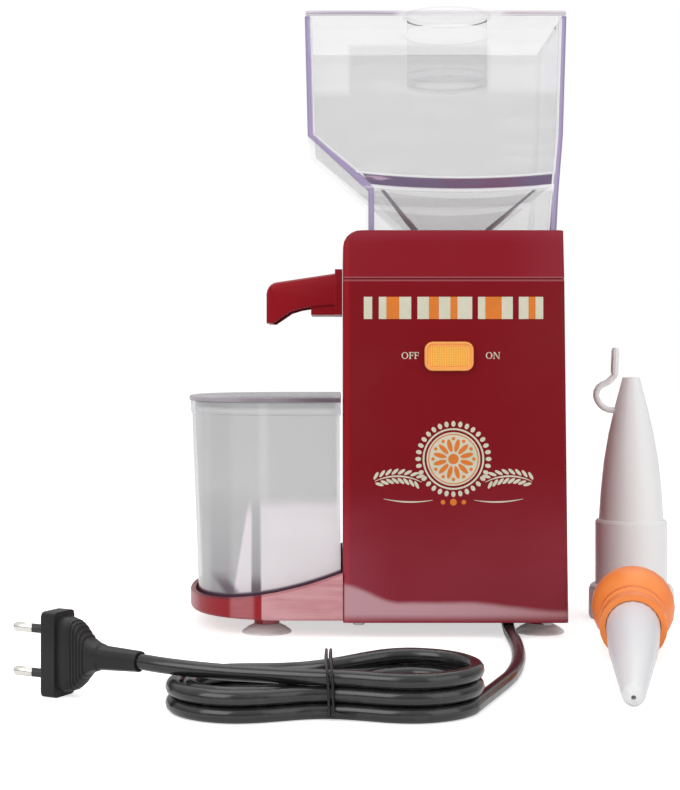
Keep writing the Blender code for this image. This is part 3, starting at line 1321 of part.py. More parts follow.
def make_cord_boot(root):
    """Tapered strain relief, held by its flange behind the pocket's wall."""
    inner_face = POCKET_WALL + GAP
    rib_count = 4
    profile = [(0, -inner_face - BOOT_FLANGE), (BOOT_FLANGE_R, -inner_face - BOOT_FLANGE),
               (BOOT_FLANGE_R, -inner_face), (BOOT_ROOT_R, -inner_face), (BOOT_ROOT_R, 1.5)]
    step = (BOOT_LENGTH - 3) / rib_count
    for k in range(rib_count):
        start = 1.5 + step * k
        radius = BOOT_ROOT_R + (BOOT_TIP_R - BOOT_ROOT_R) * (k + 0.5) / rib_count
        profile += [(radius, start + 0.3), (radius, start + step * 0.6),
                    (radius - 0.7, start + step * 0.7), (radius - 0.7, start + step)]
    profile += [(BOOT_TIP_R, BOOT_LENGTH - 1), (BOOT_TIP_R, BOOT_LENGTH), (0, BOOT_LENGTH)]
    shape = moved(revolve(profile, (CORD_X, 0), 14), boot_matrix(BOOT_WALL_Y))
    return make("cord_boot", shape, "black_plastic", root)


def lobe_centre_x(side):
    return HANK_X + side * (HANK_LENGTH - HANK_WIDTH) / 2


def hank_half_width(x, half):
    """The hank's half width, drawn in at its middle by the tie."""
    reach = (HANK_LENGTH - HANK_WIDTH) / 2
    share = min(1.0, abs(x - HANK_X) / reach)
    return half - HANK_WAIST * (0.5 + 0.5 * math.cos(math.pi * share))


def hank_outline(grow=0.0):
    half = HANK_WIDTH / 2
    steps = 10
    right = arc((lobe_centre_x(1), HANK_Y), half + grow, -90, 90, steps)
    left = arc((lobe_centre_x(-1), HANK_Y), half + grow, 90, 270, steps)
    xs = np.linspace(lobe_centre_x(1), lobe_centre_x(-1), 9)[1:-1]
    far = [(float(x), HANK_Y + hank_half_width(x, half) + grow) for x in xs]
    near = [(float(x), HANK_Y - hank_half_width(x, half) - grow) for x in reversed(xs)]
    return right + far + left + near


def lead_route():
    """The lead from its boot, down to the floor and round to the hank's right lobe."""
    start_y = BOOT_WALL_Y - BOOT_LENGTH - GAP
    floor = CORD_R
    return [
        (CORD_X, start_y, BOOT_Z), (CORD_X, start_y - 8, BOOT_Z), (CORD_X, start_y - 16, BOOT_Z - 0.5),
        (CORD_X, start_y - 26, 12.6), (CORD_X, start_y - 36, 8.2), (CORD_X, start_y - 46, 4.8),
        (CORD_X, start_y - 55, 3.5),
        (84.9, start_y - 66, floor),
        (84.6, -97.0, floor), (83.6, -116.0, floor), (81.6, -136.0, floor), (78.4, -156.0, floor),
        (73.2, -178.0, floor), (66.3, -198.0, floor), (59.72, -216.06, floor),
    ]


def tail_route():
    """The short stretch from the hank's top left to the plug."""
    turn = math.radians(PLUG_TURN)
    end = Vector((PLUG_REAR_X, PLUG_REAR_Y, PLUG_WIDTH / 2))
    back = Vector((math.cos(turn), -math.sin(turn), 0))
    start = end + back * TAIL_LENGTH
    return [tuple(start - Vector((0, 0, 0.5))), tuple(end + back * TAIL_LENGTH / 2), tuple(end + back * GAP)]


def make_cord(root):
    make_cord_boot(root)
    spacing = CORD_R * 2 * 2.4
    tube_curve("cord_lead", smooth_route(lead_route(), spacing), CORD_R, "cord_rubber", root)
    tube_curve("cord_tail", smooth_route(tail_route(), spacing / 2), CORD_R, "cord_rubber", root)
    height = HANK_LAYERS * CORD_R * 2
    make("cord_hank", prism(hank_outline(), 0.02, height), "cord_rubber", root)
    half = hank_half_width(HANK_X, HANK_WIDTH / 2) + GAP
    half_tie = TIE_WIDTH / 2
    inner = [(HANK_Y - half, 0.02), (HANK_Y + half, 0.02), (HANK_Y + half, height + GAP),
             (HANK_Y - half, height + GAP)]
    outer_half = half + TIE_THICKNESS
    outer = [(HANK_Y - outer_half, 0.02), (HANK_Y + outer_half, 0.02),
             (HANK_Y + outer_half, height + GAP + TIE_THICKNESS),
             (HANK_Y - outer_half, height + GAP + TIE_THICKNESS)]
    rings = [
        [(HANK_X - half_tie, y, z) for y, z in (outer[0], outer[3], outer[2], outer[1], inner[1],
                                                inner[2], inner[3], inner[0])],
        [(HANK_X + half_tie, y, z) for y, z in (outer[0], outer[3], outer[2], outer[1], inner[1],
                                                inner[2], inner[3], inner[0])],
    ]
    make("cord_tie", loft(rings), "black_plastic", root)


def plug_matrix():
    """Plug pieces are drawn along +X from their rear, wide side across Z, then turned into place."""
    return (
        Matrix.Translation((PLUG_REAR_X, PLUG_REAR_Y, PLUG_WIDTH / 2))
        @ Matrix.Rotation(math.radians(180 - PLUG_TURN), 4, "Z")
    )


def plug_section(x, width, thickness, radius):
    outline = rounded_rectangle(-thickness / 2, thickness / 2, -width / 2, width / 2, radius, 2)
    return [(x, y, z) for y, z in outline]


def make_plug(root):
    """Flat two-pin plug standing on its narrow edge, with a ribbed grip and its strain relief."""
    relief_end = PLUG_RELIEF_LENGTH
    body_end = relief_end + PLUG_BODY_LENGTH
    face = body_end + PLUG_FLANGE
    stations = [(0, 2 * PLUG_RELIEF_END_R), (relief_end, 2 * PLUG_RELIEF_R)]
    rings = [plug_section(x, size, size, size * 0.42) for x, size in stations]
    pitch = (PLUG_GRIP_END - PLUG_GRIP_START) / PLUG_GRIPS
    places = [(along, 0.0) for along in (0.03, 0.14, 0.24)]
    for k in range(PLUG_GRIPS):
        start = PLUG_GRIP_START + pitch * k
        places += [(start, 0.0), (start + pitch * 0.55, 0.0),
                   (start + pitch * 0.6, PLUG_GRIP_DEPTH), (start + pitch * 0.95, PLUG_GRIP_DEPTH)]
    places += [(along, 0.0) for along in (0.78, 0.9, 0.98)]
    alongs, shares = zip(*PLUG_BODY_SHAPE)
    for along, sunk in places:
        width = PLUG_WIDTH * float(np.interp(along, alongs, shares))
        rings.append(plug_section(relief_end + PLUG_BODY_LENGTH * along, width - 2 * sunk,
                                  PLUG_BODY_THICKNESS - 2 * sunk, PLUG_BODY_CORNER_R))
    rings += [
        plug_section(body_end, PLUG_WIDTH, PLUG_THICKNESS, PLUG_FLANGE_CORNER_R),
        plug_section(face - PLUG_FACE_EDGE, PLUG_WIDTH, PLUG_THICKNESS, PLUG_FLANGE_CORNER_R),
        plug_section(face, PLUG_WIDTH - 2 * PLUG_FACE_EDGE, PLUG_THICKNESS - 2 * PLUG_FACE_EDGE,
                     PLUG_FLANGE_CORNER_R),
    ]
    shape = moved(loft(rings), plug_matrix())
    make("plug_body", shape, "black_plastic", root)
    base_x = face + GAP
    profile = [
        (0, base_x), (PIN_SLEEVE_R, base_x), (PIN_SLEEVE_R, base_x + PIN_SLEEVE_LENGTH),
        (PIN_R, base_x + PIN_SLEEVE_LENGTH + 0.2), (PIN_R, face + PIN_LENGTH - PIN_R * 0.6),
        (PIN_R * 0.7, face + PIN_LENGTH - PIN_R * 0.15), (0, face + PIN_LENGTH),
    ]
    along_x = Matrix.Rotation(math.radians(90), 4, "Y")
    for name, side in (("plug_pin_upper", 1), ("plug_pin_lower", -1)):
        place = plug_matrix() @ Matrix.Translation((0, 0, side * PIN_SPACING / 2)) @ along_x
        make(name, moved(revolve(profile, steps=16), place), "steel", root)


# Oil nozzle

def cone_profile(inset, steps):
    """The nozzle's cone, bowed outwards a little between its shoulder and its tip."""
    points = []
    start_r, end_r = NOZZLE_CONE_R - inset, NOZZLE_TIP_R - inset
    start_z = NOZZLE_SHOULDER_TOP + 0.4
    for k in range(steps + 1):
        share = k / steps
        radius = start_r + (end_r - start_r) * share + NOZZLE_BULGE * math.sin(math.pi * share)
        points.append((radius, start_z + (NOZZLE_HEIGHT - start_z) * share))
    return points


def make_oil_nozzle(root):
    centre = (NOZZLE_X, NOZZLE_Y)
    wall = NOZZLE_WALL
    outer = [
        (NOZZLE_COLLAR_R - NOZZLE_GRIP_DEPTH, 0),
        (NOZZLE_COLLAR_R - NOZZLE_GRIP_DEPTH, NOZZLE_COLLAR_HEIGHT - 1),
        (NOZZLE_COLLAR_R - 1.6, NOZZLE_COLLAR_HEIGHT), (NOZZLE_SHOULDER_R, NOZZLE_COLLAR_HEIGHT + 0.4),
        (NOZZLE_SHOULDER_R, NOZZLE_SHOULDER_TOP - 1.2), (NOZZLE_SHOULDER_R - 0.8, NOZZLE_SHOULDER_TOP),
    ]
    inner = list(reversed(cone_profile(wall, 4)))
    inner += [
        (NOZZLE_SHOULDER_R - wall - 0.4, NOZZLE_SHOULDER_TOP - 2),
        (NOZZLE_SHOULDER_R - wall, NOZZLE_SHOULDER_TOP - 4),
        (NOZZLE_SHOULDER_R - wall, NOZZLE_COLLAR_HEIGHT - 2),
        (NOZZLE_COLLAR_R - wall - 1, NOZZLE_COLLAR_HEIGHT - 3),
        (NOZZLE_COLLAR_R - wall - 1, 0),
    ]
    shape = revolve(outer + cone_profile(0, 5) + inner, centre, 24)
    nozzle = make("oil_nozzle", shape, "milky_plastic", root, (*centre, 0))
    grips = []
    middle_r = NOZZLE_COLLAR_R - NOZZLE_GRIP_DEPTH
    for k in range(NOZZLE_GRIPS):
        angle = math.tau * k / NOZZLE_GRIPS
        half = math.tau / NOZZLE_GRIPS / 4
        outline = [
            (centre[0] + r * math.cos(a), centre[1] + r * math.sin(a))
            for r, a in ((middle_r - 0.8, angle - half), (NOZZLE_COLLAR_R, angle - half * 0.6),
                         (NOZZLE_COLLAR_R, angle + half * 0.6), (middle_r - 0.8, angle + half))
        ]
        grips.append(prism(outline, 1.2, NOZZLE_COLLAR_HEIGHT - 2.2))
    join(nozzle, merge(grips), root)
    join(nozzle, strap_shape(centre), root)
    return nozzle


def strap_shape(centre):
    """The bent strap that holds the tip's stopper, moulded onto the cone."""
    route = [Vector((centre[0] - x, centre[1], z)) for x, z in STRAP_ROUTE]
    points = [Vector(p) for p in smooth_route(route, 2.6)]
    tip = Vector((route[-1].x + 0.6, centre[1], route[-1].z + STRAP_STOPPER_LENGTH))
    rings = []
    sides = 10
    widths = [STRAP_R] * len(points) + [STRAP_STOPPER_R, STRAP_STOPPER_R, STRAP_STOPPER_R * 0.7]
    stretch = tip - points[-1]
    points += [points[-1] + stretch * share for share in (0.12, 0.9, 1.0)]
    for k, (point, width) in enumerate(zip(points, widths)):
        after = points[min(k + 1, len(points) - 1)]
        before = points[max(k - 1, 0)]
        along = (after - before).normalized()
        across = Vector((0, 1, 0))
        up = along.cross(across).normalized()
        turns = [math.tau * s / sides for s in range(sides)]
        rings.append([tuple(point + (across * math.cos(t) + up * math.sin(t)) * width) for t in turns])
    return loft(rings)


# Dropper

def dropper_matrix():
    """Dropper pieces are turned round Z with the bulb's end at 0, then laid down towards the camera side."""
    tip_centre = DROPPER_LENGTH - TUBE_TIP_R
    drop = math.asin((BULB_R - TUBE_TIP_R) / (tip_centre - BULB_R))
    lay_down = Matrix.Rotation(math.radians(90) + drop, 4, "X")
    return (
        Matrix.Translation((DROPPER_X, DROPPER_Y, BULB_R))
        @ Matrix.Rotation(math.radians(-DROPPER_TURN), 4, "Z")
        @ lay_down
        @ Matrix.Translation((0, 0, -BULB_R))
    )


def make_dropper(root):
    place = dropper_matrix()
    neck_angle = math.degrees(math.asin(BULB_NECK_R / BULB_R))
    ball = [(BULB_R * math.sin(math.radians(a)), BULB_R - BULB_R * math.cos(math.radians(a)))
            for a in np.linspace(0, 180 - neck_angle, 9)]
    ball[0] = (0, 0)
    ring_end = BULB_RING_START + BULB_RING_LENGTH
    cuff_start = ring_end + BULB_CUFF_GROOVE
    outside = ball + [
        (BULB_NECK_R, BULB_RING_START - 0.8), (BULB_RING_R - 0.9, BULB_RING_START),
        (BULB_RING_R, BULB_RING_START + 1.6), (BULB_RING_R, ring_end - 1.6),
        (BULB_RING_R - 1.6, ring_end + 0.4), (BULB_RING_R - 1.6, cuff_start - 0.3),
        (BULB_CUFF_R, cuff_start + 0.6), (BULB_CUFF_R, BULB_LENGTH),
    ]
    bore = TUBE_R + GAP
    inner_r = BULB_R - BULB_WALL
    hollow = [(inner_r * math.sin(math.radians(a)), BULB_R - inner_r * math.cos(math.radians(a)))
              for a in np.linspace(180 - neck_angle - 8, 0, 5)]
    hollow[-1] = (0, BULB_R - inner_r)
    mouth = [(bore, BULB_LENGTH), (bore, TUBE_START - GAP), (BULB_NECK_R - BULB_WALL - 0.6, TUBE_START - GAP)]
    shape = revolve(outside + mouth + hollow, steps=24)
    axis_point = place @ Vector((0, 0, BULB_LENGTH))
    make("dropper_bulb", moved(shape, place), "orange_rubber", root, tuple(axis_point))
    tip_start = DROPPER_LENGTH - TUBE_TIP_R
    slope_start = BULB_LENGTH + 2
    tip = [(TUBE_TIP_R * math.cos(math.radians(a)), tip_start + TUBE_TIP_R * math.sin(math.radians(a)))
           for a in (10, 30, 50, 70)]
    tube = [(TUBE_R - TUBE_WALL, TUBE_START), (TUBE_R, TUBE_START), (TUBE_R, slope_start),
            (TUBE_R * 0.9, slope_start + 30)] + tip
    tube += [(TUBE_HOLE_R, DROPPER_LENGTH), (TUBE_HOLE_R, tip_start - 2),
             (TUBE_TIP_R - TUBE_WALL, tip_start - 8), (TUBE_R * 0.9 - TUBE_WALL, slope_start + 30),
             (TUBE_R - TUBE_WALL, slope_start)]
    make("dropper_tube", moved(revolve(tube, steps=20), place), "milky_plastic", root,
         tuple(place @ Vector((0, 0, BULB_R))))


# Whole object

CORD_NODES = ("cord_lead", "cord_hank", "cord_tail", "cord_tie", "plug_body", "plug_pin_upper",
              "plug_pin_lower")


def centre_on_origin(root):
    """Moves the whole object so that its origin is under the middle of its box, the lead left out."""
    bpy.context.view_layer.update()
    graph = bpy.context.evaluated_depsgraph_get()
    lows, highs = [], []
    for item in bpy.data.objects:
        if item.type != "MESH" or item.hide_render or item.name in CORD_NODES:
            continue
        shown = item.evaluated_get(graph)
        mesh = shown.to_mesh()
        points = np.empty(len(mesh.vertices) * 3, np.float32)
        mesh.vertices.foreach_get("co", points)
        places = points.reshape(-1, 3) + np.array(item.matrix_world.translation)
        lows.append(places.min(axis=0))
        highs.append(places.max(axis=0))
        shown.to_mesh_clear()
    low, high = np.min(lows, axis=0), np.max(highs, axis=0)
    middle = (low + high) / 2
    root.location = (-middle[0], -middle[1], 0)


def main():
    clear_scene()
    root = bpy.data.objects.new("machine", None)
    bpy.context.scene.collection.objects.link(root)
    make_body_shell(root)
    make_base_plate(root)
    make_base_screws(root)
    make_feet(root)
    make_top_cover(root)
    make_hopper(root)
    make_hopper_lid(root)
    make_grinding_chamber(root)
    make_burr_ring(root)
    make_grinding_cone(root)
    make_drive_shaft(root)
    bush_bore = SHAFT_R + RUN_GAP
    axis = (GRINDER_X, 0)
    make_bush("shaft_bush_upper", axis, bush_bore, BUSH_WALL, CHAMBER_BOTTOM_Z, CHAMBER_FLOOR_Z,
              "brass", root)
    make_bush("shaft_bush_lower", axis, bush_bore, BUSH_WALL, PLATE_BOTTOM_Z, PLATE_TOP_Z,
              "brass", root)
    make_gears(root)
    make_gearbox_plate(root)
    make_motor(root)
    make_spout(root)
    make_switch(root)
    make_cup_tray(root)
    make_cup(root)
    make_cup_lid(root)
    make_cord(root)
    make_plug(root)
    make_oil_nozzle(root)
    make_dropper(root)
    centre_on_origin(root)


main()
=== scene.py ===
import json
import math

import bmesh
import bpy
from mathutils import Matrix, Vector

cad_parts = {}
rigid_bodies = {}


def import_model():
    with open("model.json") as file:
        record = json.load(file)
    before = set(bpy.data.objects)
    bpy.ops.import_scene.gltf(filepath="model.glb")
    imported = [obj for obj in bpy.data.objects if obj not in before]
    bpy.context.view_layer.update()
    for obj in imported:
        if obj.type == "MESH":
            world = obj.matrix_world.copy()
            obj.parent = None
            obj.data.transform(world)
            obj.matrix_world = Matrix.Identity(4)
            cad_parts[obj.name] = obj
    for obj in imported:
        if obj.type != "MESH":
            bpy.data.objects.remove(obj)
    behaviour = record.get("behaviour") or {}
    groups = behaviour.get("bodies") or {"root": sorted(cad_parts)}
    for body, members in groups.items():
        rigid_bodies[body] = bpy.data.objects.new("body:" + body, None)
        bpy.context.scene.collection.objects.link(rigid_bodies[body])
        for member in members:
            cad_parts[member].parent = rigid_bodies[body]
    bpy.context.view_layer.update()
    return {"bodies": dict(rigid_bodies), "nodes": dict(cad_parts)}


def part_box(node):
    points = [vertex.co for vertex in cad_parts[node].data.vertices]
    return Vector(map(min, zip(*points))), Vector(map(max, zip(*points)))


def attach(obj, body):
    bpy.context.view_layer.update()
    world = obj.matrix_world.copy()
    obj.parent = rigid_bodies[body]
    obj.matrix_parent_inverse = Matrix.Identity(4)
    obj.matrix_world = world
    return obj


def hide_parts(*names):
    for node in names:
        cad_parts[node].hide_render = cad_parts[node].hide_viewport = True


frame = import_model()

bl_info = {
    "name": "Nut Butter Machine Looks",
    "version": (1, 0, 0),
    "blender": (4, 5, 0),
    "location": "3D View > Sidebar > Nut Butter",
    "description": "Finishes, printed label, mains lead and studio of a small nut butter machine",
    "category": "Object",
}

# The part's own frame. Sizes below are in millimetres from the housing's left side and mid-depth.
MM = 0.001
SHELL_LOW, SHELL_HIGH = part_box("body_shell")
HOUSING_LEFT = 1.5
SHIFT_X = SHELL_LOW.x - HOUSING_LEFT * MM
SHIFT_Y = (SHELL_LOW.y + SHELL_HIGH.y) / 2
LABEL_Y = (SHELL_LOW.y - SHIFT_Y) / MM


def place(x, y, z):
    return Vector((SHIFT_X + x * MM, SHIFT_Y + y * MM, z * MM))


# Places that the finishes refer to: the hopper's outline as the label side shows it, the lids'
# edges, the cover's seam, the tray's rim and the switch button's ribs
BIN_TOP_Z, BIN_LEFT, BIN_RIGHT = 314.4, -18.0, 115.5
BIN_LEAN_LEFT, BIN_LEAN_RIGHT, NECK_LEAN = 0.0248, 0.0282, 0.0565
BEND_Z, BEND_LEFT = 254.0, -16.5
SLOPE_NORMAL = (0.677, 0.736)
NECK_LEFT, SHOULDER_Z = 14.5, 229.3
FUNNEL_TOP_Z, FUNNEL_FALL = 229.5, 28.5
LID_EDGE_Z, PORT_X, PORT_LIP_Z = 315.8, 58.0, 290.0
COVER_SEAM_Z, CUP_LID_Z = 180.0, 119.4
TRAY_FRONT, TRAY_REAR, TRAY_RIM_LOW, TRAY_RIM_RISE, TRAY_RIM_POWER = -80.0, 1.5, 18.3, 14.7, 2.2
RIB_PITCH, ROW_PITCH = 1.16, 1.25

# Photograph's camera: distances in millimetres, frame in pixels
PHOTO_HEIGHT = 790
FOCAL_PIXELS = 1600
SENSOR = 36.0
CAMERA_DISTANCE = 867.0
EYE_HEIGHT = 141.0
EYE_ROW = 357

# Mains lead and its hank: the radius of each lane round a lobe, how far the turns are pulled in
# between the lobes, each turn's lane and layer, and how many of its points the last turn keeps
CORD_R = 3.25
HANK_X, HANK_Y = -6.0, -225.0
LOBE_REACH = 33.75
LANES = (27.0, 20.5)
WAIST = 8.0
TURNS = ((0, 0), (1, 0), (1, 1), (0, 1), (0, 2))
LOBE_STEPS, CROSSING_STEPS, LAST_TURN_POINTS = 12, 8, 17
TIE_R, TIE_TURNS, TIE_PITCH = 0.55, 2, 1.8
LEAD = (
    (85, -14.3, 16.2), (85, -22.3, 16.2), (85, -30.3, 15.7), (85, -40.3, 12.6), (85, -50.3, 8.2),
    (85, -60.3, 4.8), (85, -69.3, 3.5), (84.9, -80.3, 3.25), (84.6, -97, 3.25), (83.6, -116, 3.25),
    (81.6, -136, 3.25), (78.4, -156, 3.25), (73.2, -178, 3.25), (66.3, -198, 3.25),
    (59.72, -216.06, 3.25), (53.12, -234.2, 3.25),
)
TAIL = (
    (-17, -241.6, 16.25), (-30, -238.2, 16.25), (-44, -234.6, 16.35), (-58, -230.0, 16.7),
    (-70.9, -224.4, 17.15), (-80.74, -219.14, 17.65),
)


# Node trees

class Value:
    """A socket of a node tree that takes part in Python sums."""

    def __init__(self, tree, socket):
        self.tree = tree
        self.socket = socket

    def maths(self, operation, first, second=0.0):
        return add_node(self.tree, "ShaderNodeMath", {0: first, 1: second}, operation=operation)

    def __add__(self, other):
        return self.maths("ADD", self, other)

    __radd__ = __add__

    def __sub__(self, other):
        return self.maths("SUBTRACT", self, other)

    def __rsub__(self, other):
        return self.maths("SUBTRACT", other, self)

    def __mul__(self, other):
        return self.maths("MULTIPLY", self, other)

    __rmul__ = __mul__

    def __pow__(self, other):
        return self.maths("POWER", self, other)

    def apart(self, other):
        """Distance to a number or value."""
        gap = self - other
        return gap.maths("ABSOLUTE", gap)

    def larger(self, other):
        return self.maths("MAXIMUM", self, other)

    def between(self, start, end):
        """0 up to the start and 1 past the end, smooth between; the end may be the lower one."""
        return add_node(self.tree, "ShaderNodeMapRange",
                        {"Value": self, "From Min": start, "From Max": end},
                        interpolation_type="SMOOTHSTEP")

    def band(self, centre, half, soft):
        """1 within half of the centre, fading to 0 over a soft edge."""
        return self.apart(centre).between(half + soft, half)

    def wave(self, pitch):
        """A smooth ripple from 0 to 1 that repeats at a pitch."""
        turned = self * (math.tau / pitch)
        return turned.maths("SINE", turned) * 0.5 + 0.5


def fill(target, value):
    """Links a value to a socket, or sets the socket to a constant."""
    if isinstance(value, Value):
        value.tree.links.new(value.socket, target)
    else:
        target.default_value = value


def add_node(tree, kind, inputs=(), output=0, **settings):
    """A new node with its settings and then its inputs; returns the value of one output."""
    made = tree.nodes.new(kind)
    for key, value in settings.items():
        setattr(made, key, value)
    for key, value in dict(inputs).items():
        fill(made.inputs[key], value)
    return Value(tree, made.outputs[output])


def scaled(colour, factor):
    return tuple(c * factor for c in colour)


class Finish:
    """A Principled material with helpers for what changes over its surface."""

    def __init__(self, name, colour, roughness, specular=0.5, metallic=0.0):
        self.material = bpy.data.materials.new(name)
        self.material.use_nodes = True
        self.tree = self.material.node_tree
        self.shader = self.tree.nodes["Principled BSDF"]
        self.set("Base Color", (*colour, 1.0))
        self.set("Roughness", roughness)
        self.set("Specular IOR Level", specular)
        self.set("Metallic", metallic)

    def set(self, socket, value):
        fill(self.shader.inputs[socket], value)

    def node(self, kind, inputs=(), output=0, **settings):
        return add_node(self.tree, kind, inputs, output, **settings)

    def position(self):
        return self.node("ShaderNodeTexCoord", output="Object")

    def axes(self):
        """Place on the machine in millimetres, as three values."""
        split = self.tree.nodes.new("ShaderNodeSeparateXYZ")
        self.tree.links.new(self.position().socket, split.inputs[0])
        return [(Value(self.tree, split.outputs[k]) - start) * (1 / MM)
                for k, start in enumerate((SHIFT_X, SHIFT_Y, 0.0))]

    def noise(self, scale, detail=3.0, stretch=(1, 1, 1), rough=0.5):
        spot = self.node("ShaderNodeMapping", {"Vector": self.position(), "Scale": stretch})
        return self.node("ShaderNodeTexNoise",
                         {"Vector": spot, "Scale": scale, "Detail": detail, "Roughness": rough})

    def mix(self, share, first, second):
        first = first if isinstance(first, Value) else (*first, 1.0)
        second = second if isinstance(second, Value) else (*second, 1.0)
        return self.node("ShaderNodeMix", {0: share, 6: first, 7: second}, 2, data_type="RGBA")

    def facing(self, blend=0.5):
        return self.node("ShaderNodeLayerWeight", {"Blend": blend}, output="Facing")

    def bump(self, height, strength, distance, edge=0.0):
        """Relief in millimetres, with edges that look rounded to a radius where one is given."""
        inputs = {"Height": height, "Strength": strength, "Distance": distance * MM}
        if edge:
            inputs["Normal"] = self.node("ShaderNodeBevel", {"Radius": edge * MM}, samples=6)
        self.set("Normal", self.node("ShaderNodeBump", inputs))


# Finishes. Bare numbers in them are places and widths on the machine in millimetres, shares
# from 0 to 1, linear colours, and a noise's scale, detail and stretch.

def red_plastic(name, brighter=1.0):
    """Crimson moulding with painted light: a pinkish sheen and the white table's reflection painted
    low on its walls, and painted highlights on its near edge and beside the cover's seam.
    """
    deep = scaled(bpy.context.scene.nut_butter_colours.housing, brighter)
    made = Finish(name, deep, 0.3, specular=0.12)
    x, y, z = made.axes()
    cloud = made.noise(16.0, 4.0).between(0.4, 0.72)
    wisps = made.noise(40.0, 5.0, (0.5, 0.5, 1.6)) - 0.5
    front = y.between(-60.0, -66.0)
    toward_left = x.between(30.0, 3.0)
    toward_right = x.between(80.0, 112.0)
    # Painted sheen: a pinkish veil of reflected light low on the walls, stronger towards the ends,
    # with fainter bands over the cover
    low_sheen = 0.052 + toward_left * 0.045 + toward_right * 0.025
    cover_sheen = 0.012 + toward_right * 0.024
    painted_sheen = (z + wisps * 18).between(88.0, 22.0) * low_sheen
    painted_sheen = painted_sheen + z.between(COVER_SEAM_Z - 2, COVER_SEAM_Z + 2) * cover_sheen
    painted_sheen = painted_sheen + z.between(197.0, 206.0) * 0.03
    # Painted reflection of the white table along the foot of the front
    table_top = x.between(110.0, 60.0) * 4.0 + x.between(30.0, 0.0) * 9.0 + wisps * 3
    table = (z - table_top).between(15.8, 12.4) * z.between(8.0, 13.0) * front
    base = made.mix(cloud * 0.5, deep, tuple(c * 0.96 + 0.007 for c in deep))
    # Painted highlight down the near left edge
    edge_highlight = x.band(3.1, 0.8, 1.6) * front * z.between(202.0, 196.0)
    base = made.mix(edge_highlight * 0.8, base, (0.31, 0.006, 0.012))
    # Painted highlight lines above and below the cover's seam
    seam_highlight = z.band(COVER_SEAM_Z + 0.8, 0.2, 0.3).larger(
        z.band(COVER_SEAM_Z - 0.7, 0.25, 0.3)) * front
    base = made.mix(seam_highlight * 0.75, base, (0.36, 0.10, 0.11))
    base = made.mix(painted_sheen, base, (0.95, 0.38, 0.57))
    mirrored = table * (0.84 - toward_right * 0.15)
    made.set("Base Color", made.mix(mirrored, base, (0.575, 0.347, 0.383)))
    scuffs = made.noise(420.0, 2.0, (0.06, 0.06, 1.0)).between(0.62, 0.72)
    made.set("Roughness", 0.26 + made.noise(90.0, 4.0) * 0.14 + scuffs * 0.12)
    grain = made.noise(2600.0, 2.0) * 0.3 + made.noise(26.0, 2.0)
    made.bump(grain, 0.1, 0.4, edge=0.7)
    return made


def rim_rise(x):
    """How far the tray's rim has swept up at a place along it."""
    along = ((x - TRAY_FRONT) * (1 / (TRAY_REAR - TRAY_FRONT))).larger(0.0)
    return along ** TRAY_RIM_POWER * TRAY_RIM_RISE


def tray_plastic():
    """The tray's polished rim, with the table's reflection painted on its front in broad bands and
    painted shade under the rim's top edge.
    """
    deep = tuple(bpy.context.scene.nut_butter_colours.housing)
    made = Finish("tray_moulding", deep, 0.22, specular=0.3)
    x, y, z = made.axes()
    outside = y.between(10.0, -12.0)
    scratches = made.noise(210.0, 5.0, (0.10, 0.4, 1.3), 0.65)
    reflection_noise = made.noise(60.0, 4.0, (0.5, 0.5, 1.0))
    # Painted reflection of the table in bands on the front, broken up by the scratches
    middle = x.band(-49.4, 4.8, 2.6) * 0.34
    right_half = x.between(-39.8, -38.8)
    tip = x.between(-71.0, -77.0) * 0.34
    painted_reflection = middle.larger(right_half).larger(tip) * (0.9 + (scratches + reflection_noise - 1) * 0.9)
    # Painted shade just under the rim's top edge
    rim_shade = (z - TRAY_RIM_LOW - rim_rise(x)).between(-1.3, -0.7)
    lower_edge = z.between(9.6, 8.0)
    painted_reflection = painted_reflection * (1 - lower_edge * 0.5) * outside * (1 - rim_shade * right_half * 0.35)
    # The red is raised 1.55 times over the housing's as painted light
    base = made.mix(rim_shade * (1 - right_half) * 0.5, scaled(deep, 1.55), (0.10, 0.02, 0.03))
    made.set("Base Color", made.mix(painted_reflection, base, (0.66, 0.345, 0.37)))
    made.set("Roughness", 0.22 + scratches * 0.2)
    made.bump(scratches * 0.4 + made.noise(1800.0, 2.0) * 0.2, 0.12, 0.2, edge=0.5)
    return made


